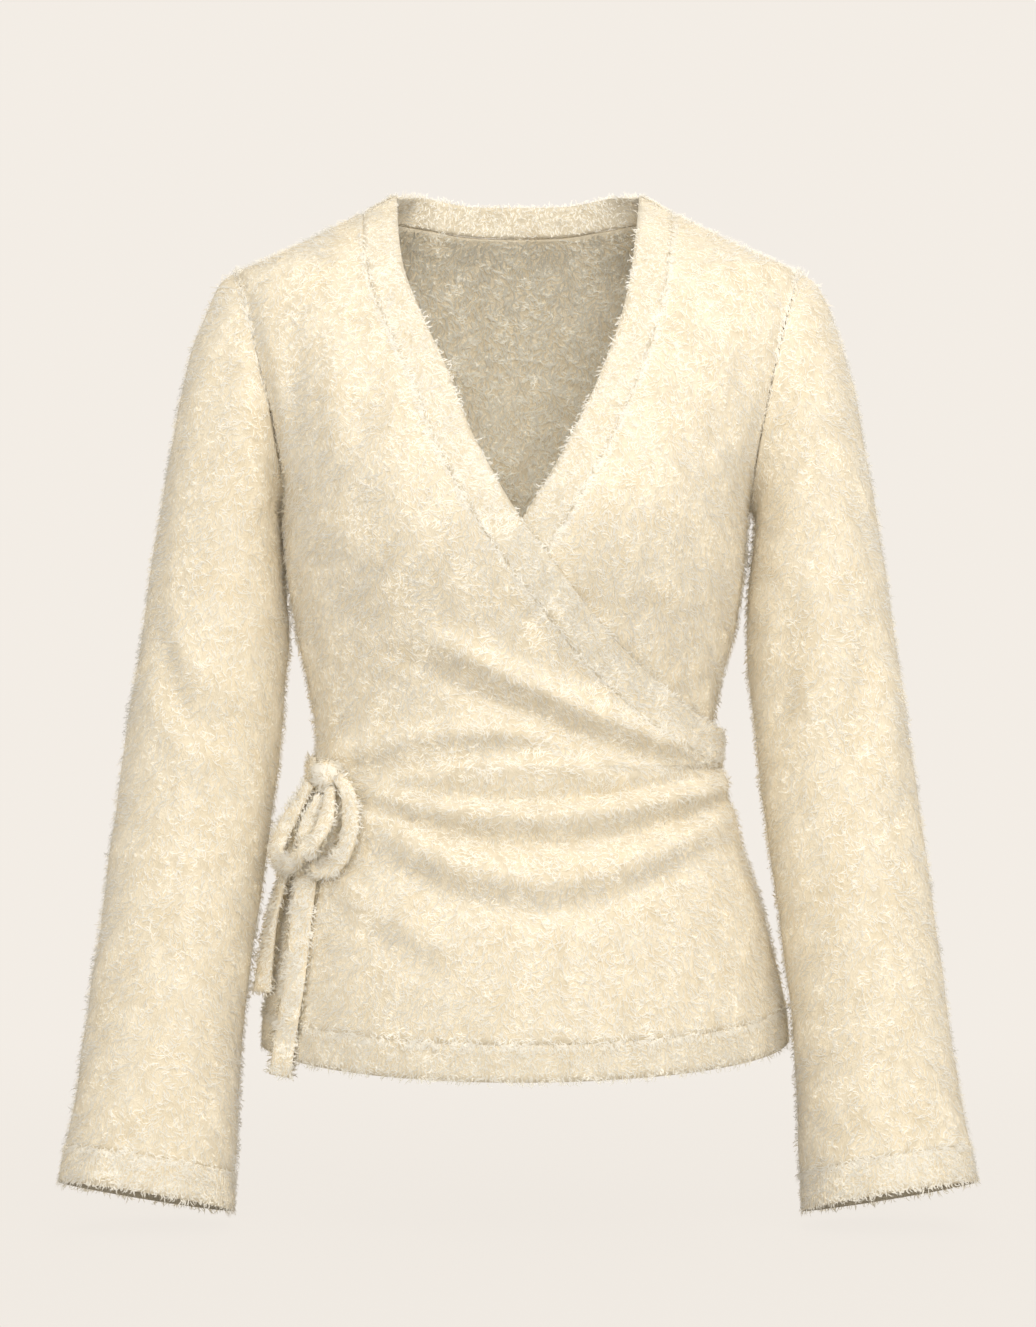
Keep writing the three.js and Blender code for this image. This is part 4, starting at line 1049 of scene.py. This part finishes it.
def make_straps(look):
    mat = finish_of(look)
    rng = np.random.default_rng(19)
    t = np.linspace(0, 1, 150)
    start = -365.0
    stations = np.stack([lerp(92, 290, t), lerp(start, KNOT_AT[2] + 2, smooth(0, 1, t))], -1)
    under = np.stack([360 + lerp(UNDER_TIE[1], UNDER_TIE[2], np.linspace(0, 1, 14)), np.full(14, UNDER_TIE[3])], -1)
    for label, node_name, where, width, flat, count in (
            ("Waist tie", "tie_waist", stations, TIE_WIDTH, (0.018, 0.35), 3200),
            ("Under tie", "tie_under", under, UNDER_TIE[0], (0.012, 0.045), 300)):
        outside, inside = lying_grid(where, width)
        normals = unit(outside - inside)
        flip = ((grid_normals(outside) * normals).sum() < 0)
        body = place(shell(label, outside, inside, mat("strap"), flip=bool(flip)), "strap", node_name)
        roots = scatter(outside, normals, int(count * look.density), rng)
        fur = place(pile(label + " pile", *roots, mat("pile"), 6.0, rise=40, seed=61), "strap")

    for label, node_name, table, width, thick, steps, pinch, flat, count in (
            ("Outer loop", "bow_loop_outer", LOOP_OUTER, LOOP_WIDTH - 3, 4.6, 60, (0.6, 0.6), (0.015, 0.12), 2600),
            ("Inner loop", "bow_loop_inner", LOOP_INNER, LOOP_WIDTH - 3, 4.6, 60, (0.7, 0.5), (0.015, 0.12), 2600),
            ("Front tail", "bow_tail_front", TAIL_FRONT, TIE_WIDTH - 3, 3.4, 70, (0.6, 1), (0.018, 0.185), 3800),
            ("Back tail", "bow_tail_back", TAIL_BACK, TIE_WIDTH - 3, 3.4, 60, (0.6, 1), (0.018, 0.135), 2800)):
        rings, normals, centre = strap_rings(table, width, thick, steps, pinch)
        body = place(tube(label, rings, mat("strap")), "strap", node_name)
        roots = scatter(rings, normals, int(count * look.density), rng, ring=True)
        fur = place(pile(label + " pile", *roots, mat("pile"), 6.0, 0.65, 44, 1.6, len(label) + 60), "strap")

    v, u = np.meshgrid(np.linspace(0.02, math.pi - 0.02, 30), np.linspace(0, 2 * math.pi, 49)[:-1], indexing="ij")
    ball = np.stack([np.sin(v) * np.cos(u), np.sin(v) * np.sin(u), np.cos(v)], -1)
    wrap = 1 + 0.07 * np.cos(3 * ball[..., 2] * math.pi + 0.8 * u) * np.sin(v) - 0.03
    turn = math.radians(KNOT_TURN)
    local = ball * wrap[..., None] * np.array(KNOT_SIZE) / 2
    rotate = np.array([[math.cos(turn), -math.sin(turn), 0], [math.sin(turn), math.cos(turn), 0], [0, 0, 1]])
    rings = local @ rotate.T + np.array(KNOT_AT)
    body = place(tube("Knot", rings, mat("strap")), "strap", "bow_knot")
    roots = scatter(rings, unit(rings - np.array(KNOT_AT)), int(1600 * look.density), rng, ring=True)
    fur = place(pile("Knot pile", *roots, mat("pile"), 6.0, 0.65, 44, 1.6, 71), "strap")


def area_light(name, spot, size, power, tint, aim=(0, 0, -0.3)):
    light = bpy.data.lights.new(name, "AREA")
    light.shape, light.size, light.energy, light.color = "DISK", size, power, tint
    lamp = bpy.data.objects.new(name, light)
    bpy.context.collection.objects.link(lamp)
    lamp.location = spot
    way = np.array(spot) - np.array(aim)
    lamp.rotation_mode = "QUATERNION"
    lamp.rotation_quaternion = Vector(way).to_track_quat("Z", "Y")


def make_stage(look):
    """A pale floor that fades into the backdrop's tone, lights and the camera."""
    world = bpy.data.worlds.new("Studio")
    bpy.context.scene.world = world
    world.use_nodes = True
    tree = world.node_tree
    light = tree.nodes["Background"]
    light.inputs["Color"].default_value = (1.0, 0.97, 0.93, 1)
    light.inputs["Strength"].default_value = look.ambient
    seen = node(tree, "ShaderNodeBackground")
    seen.inputs["Color"].default_value = tuple(look.backdrop) + (1,)
    path, mix = tree.nodes.new("ShaderNodeLightPath"), tree.nodes.new("ShaderNodeMixShader")
    first = node(tree, "ShaderNodeMath", {"operation": "MAXIMUM"})
    second = node(tree, "ShaderNodeMath", {"operation": "MAXIMUM"})
    link = tree.links.new
    link(path.outputs["Is Camera Ray"], first.inputs[0])
    link(path.outputs["Is Glossy Ray"], first.inputs[1])
    link(first.outputs[0], second.inputs[0])
    link(path.outputs["Is Transmission Ray"], second.inputs[1])
    link(second.outputs[0], mix.inputs[0])
    link(light.outputs[0], mix.inputs[1])
    link(seen.outputs[0], mix.inputs[2])
    link(mix.outputs[0], tree.nodes["World Output"].inputs[0])

    angle, reach = np.linspace(0, 2 * math.pi, 65)[:-1], np.array([0.05, 400, 900, 1600, 2600])
    points = np.stack([np.outer(reach, np.cos(angle)), np.outer(reach, np.sin(angle)),
                       np.full((5, 64), -662.0)], -1)
    material = bpy.data.materials.new("Floor")
    material.use_nodes = True
    tree = material.node_tree
    tree.nodes.remove(tree.nodes["Principled BSDF"])
    matte, glow = tree.nodes.new("ShaderNodeBsdfDiffuse"), tree.nodes.new("ShaderNodeEmission")
    matte.inputs["Color"].default_value = tuple(0.5 * part for part in look.backdrop) + (1,)
    glow.inputs["Color"].default_value = tuple(look.backdrop) + (1,)
    clear, body, fade = (tree.nodes.new(kind) for kind in (
        "ShaderNodeBsdfTransparent", "ShaderNodeMixShader", "ShaderNodeMixShader"))
    path, share = tree.nodes.new("ShaderNodeLightPath"), node(tree, "ShaderNodeMath", {"operation": "MULTIPLY"})
    share.inputs[1].default_value = 0.93
    spot, length = tree.nodes.new("ShaderNodeTexCoord"), node(tree, "ShaderNodeVectorMath", {"operation": "LENGTH"})
    ramp = node(tree, "ShaderNodeMapRange", {"interpolation_type": "SMOOTHSTEP"},
                {"From Min": 0.45, "From Max": 1.5})
    link = tree.links.new
    link(path.outputs["Is Camera Ray"], share.inputs[0])
    link(share.outputs[0], body.inputs[0])
    link(matte.outputs[0], body.inputs[1])
    link(glow.outputs[0], body.inputs[2])
    link(spot.outputs["Object"], length.inputs[0])
    link(length.outputs["Value"], ramp.inputs["Value"])
    link(ramp.outputs["Result"], fade.inputs[0])
    link(body.outputs[0], fade.inputs[1])
    link(clear.outputs[0], fade.inputs[2])
    link(fade.outputs[0], tree.nodes["Material Output"].inputs[0])
    floor = make_mesh("Floor", points.reshape(-1, 3), [grid_faces(5, 64, 0, True)],
                      np.zeros((320, 2)), material)

    area_light("Key", (1.0, -1.6, 1.7), 2.6, look.key * 0.8, (1.0, 0.97, 0.92))
    area_light("Fill", (0.1, -2.8, 0.25), 1.4, look.key, (1.0, 0.98, 0.95))
    area_light("Behind", (0.2, 2.4, 0.8), 1.8, look.key * 1.1, (1.0, 0.97, 0.92))

    camera = bpy.data.objects.new("Camera", bpy.data.cameras.new("Camera"))
    bpy.context.collection.objects.link(camera)
    camera.location = (0, -2.6, -0.3045)
    camera.rotation_euler = (math.pi / 2, 0, 0)
    camera.data.lens = 36 * 2600 / 862
    camera.data.clip_start, camera.data.clip_end = 0.05, 50
    bpy.context.scene.camera = camera
    view = bpy.context.scene.view_settings
    view.view_transform = "Standard"


# ---- The add-on ----
class CardiganSettings(bpy.types.PropertyGroup):
    """Sizes and colours that a user would change."""

    pile_length: bpy.props.FloatProperty(
        name="Pile length", description="Longest strands of the pile", default=0.0078, min=0.001, max=0.012,
        unit="LENGTH")
    density: bpy.props.FloatProperty(
        name="Pile density", description="Share of the full number of strands", default=1.0, min=0.05, max=1.0,
        subtype="FACTOR")
    ground: bpy.props.FloatVectorProperty(
        name="Knit", description="Colour of the knit under the pile", default=(0.85, 0.77, 0.61), size=3,
        min=0, max=1, subtype="COLOR")
    # Painted shade: the knit, rib and strap grounds are mixed toward this colour where their bump is low, so their
    # hollows are painted darker; it also gives random wide patches of tone.
    shade: bpy.props.FloatVectorProperty(
        name="Knit shade", description="Colour of the knit's hollows", default=(0.75, 0.65, 0.47), size=3,
        min=0, max=1, subtype="COLOR")
    # The colour of the ribbed bands, and also the band pile's root, where it paints that pile darker than the
    # body's pile as shade.
    band: bpy.props.FloatVectorProperty(
        name="Bands", description="Colour of the ribbed bands", default=(0.84, 0.765, 0.61), size=3,
        min=0, max=1, subtype="COLOR")
    # Painted shade: strands run from this darker colour at the root to the tip colour, standing for the shade near
    # the cloth.
    root: bpy.props.FloatVectorProperty(
        name="Pile root", description="Colour of a strand at its root", default=(0.88, 0.80, 0.64), size=3,
        min=0, max=1, subtype="COLOR")
    tip: bpy.props.FloatVectorProperty(
        name="Pile tip", description="Colour of a strand at its tip", default=(0.98, 0.945, 0.85), size=3,
        min=0, max=1, subtype="COLOR")
    backdrop: bpy.props.FloatVectorProperty(
        name="Backdrop", description="Colour of the floor and backdrop", default=(0.896, 0.847, 0.787), size=3,
        min=0, max=1, subtype="COLOR")
    ambient: bpy.props.FloatProperty(
        name="Ambient light", description="Strength of the light from all round", default=0.68, min=0, max=2)
    key: bpy.props.FloatProperty(
        name="Key light", description="Power of the main light", default=34.0, min=0, max=500, unit="POWER")


class CARDIGAN_OT_back(bpy.types.Operator):
    """Make the back with its hem and its neck band"""

    bl_idname = "cardigan.back"
    bl_label = "Back"

    def execute(self, context):
        make_back(context.scene.cardigan)
        return {"FINISHED"}


class CARDIGAN_OT_fronts(bpy.types.Operator):
    """Make both fronts with their hems and neck bands"""

    bl_idname = "cardigan.fronts"
    bl_label = "Fronts"

    def execute(self, context):
        make_front(context.scene.cardigan, False)
        make_front(context.scene.cardigan, True)
        return {"FINISHED"}


class CARDIGAN_OT_sleeves(bpy.types.Operator):
    """Make both sleeves with their cuffs"""

    bl_idname = "cardigan.sleeves"
    bl_label = "Sleeves"

    def execute(self, context):
        make_sleeve(context.scene.cardigan, 1)
        make_sleeve(context.scene.cardigan, -1)
        return {"FINISHED"}


class CARDIGAN_OT_straps(bpy.types.Operator):
    """Make the ties and the bow"""

    bl_idname = "cardigan.straps"
    bl_label = "Ties and bow"

    def execute(self, context):
        make_straps(context.scene.cardigan)
        return {"FINISHED"}


class CARDIGAN_OT_stage(bpy.types.Operator):
    """Make the floor, the backdrop, the lights and the camera"""

    bl_idname = "cardigan.stage"
    bl_label = "Stage"

    def execute(self, context):
        make_stage(context.scene.cardigan)
        return {"FINISHED"}


OPERATORS = (CARDIGAN_OT_back, CARDIGAN_OT_fronts, CARDIGAN_OT_sleeves, CARDIGAN_OT_straps, CARDIGAN_OT_stage)


class CARDIGAN_PT_panel(bpy.types.Panel):
    """Lists the pieces and the settings"""

    bl_label = "Wrap cardigan"
    bl_idname = "CARDIGAN_PT_panel"
    bl_space_type = "VIEW_3D"
    bl_region_type = "UI"
    bl_category = "Cardigan"

    def draw(self, context):
        for name in CardiganSettings.__annotations__:
            self.layout.prop(context.scene.cardigan, name)
        for operator in OPERATORS:
            self.layout.operator(operator.bl_idname)


CLASSES = (CardiganSettings, *OPERATORS, CARDIGAN_PT_panel)


def register():
    for cls in CLASSES:
        bpy.utils.register_class(cls)
    bpy.types.Scene.cardigan = bpy.props.PointerProperty(type=CardiganSettings)


def unregister():
    del bpy.types.Scene.cardigan
    for cls in reversed(CLASSES):
        bpy.utils.unregister_class(cls)


def main():
    register()
    for name in ("back", "fronts", "sleeves", "straps", "stage"):
        getattr(bpy.ops.cardigan, name)()


if __name__ == "__main__":
    main()
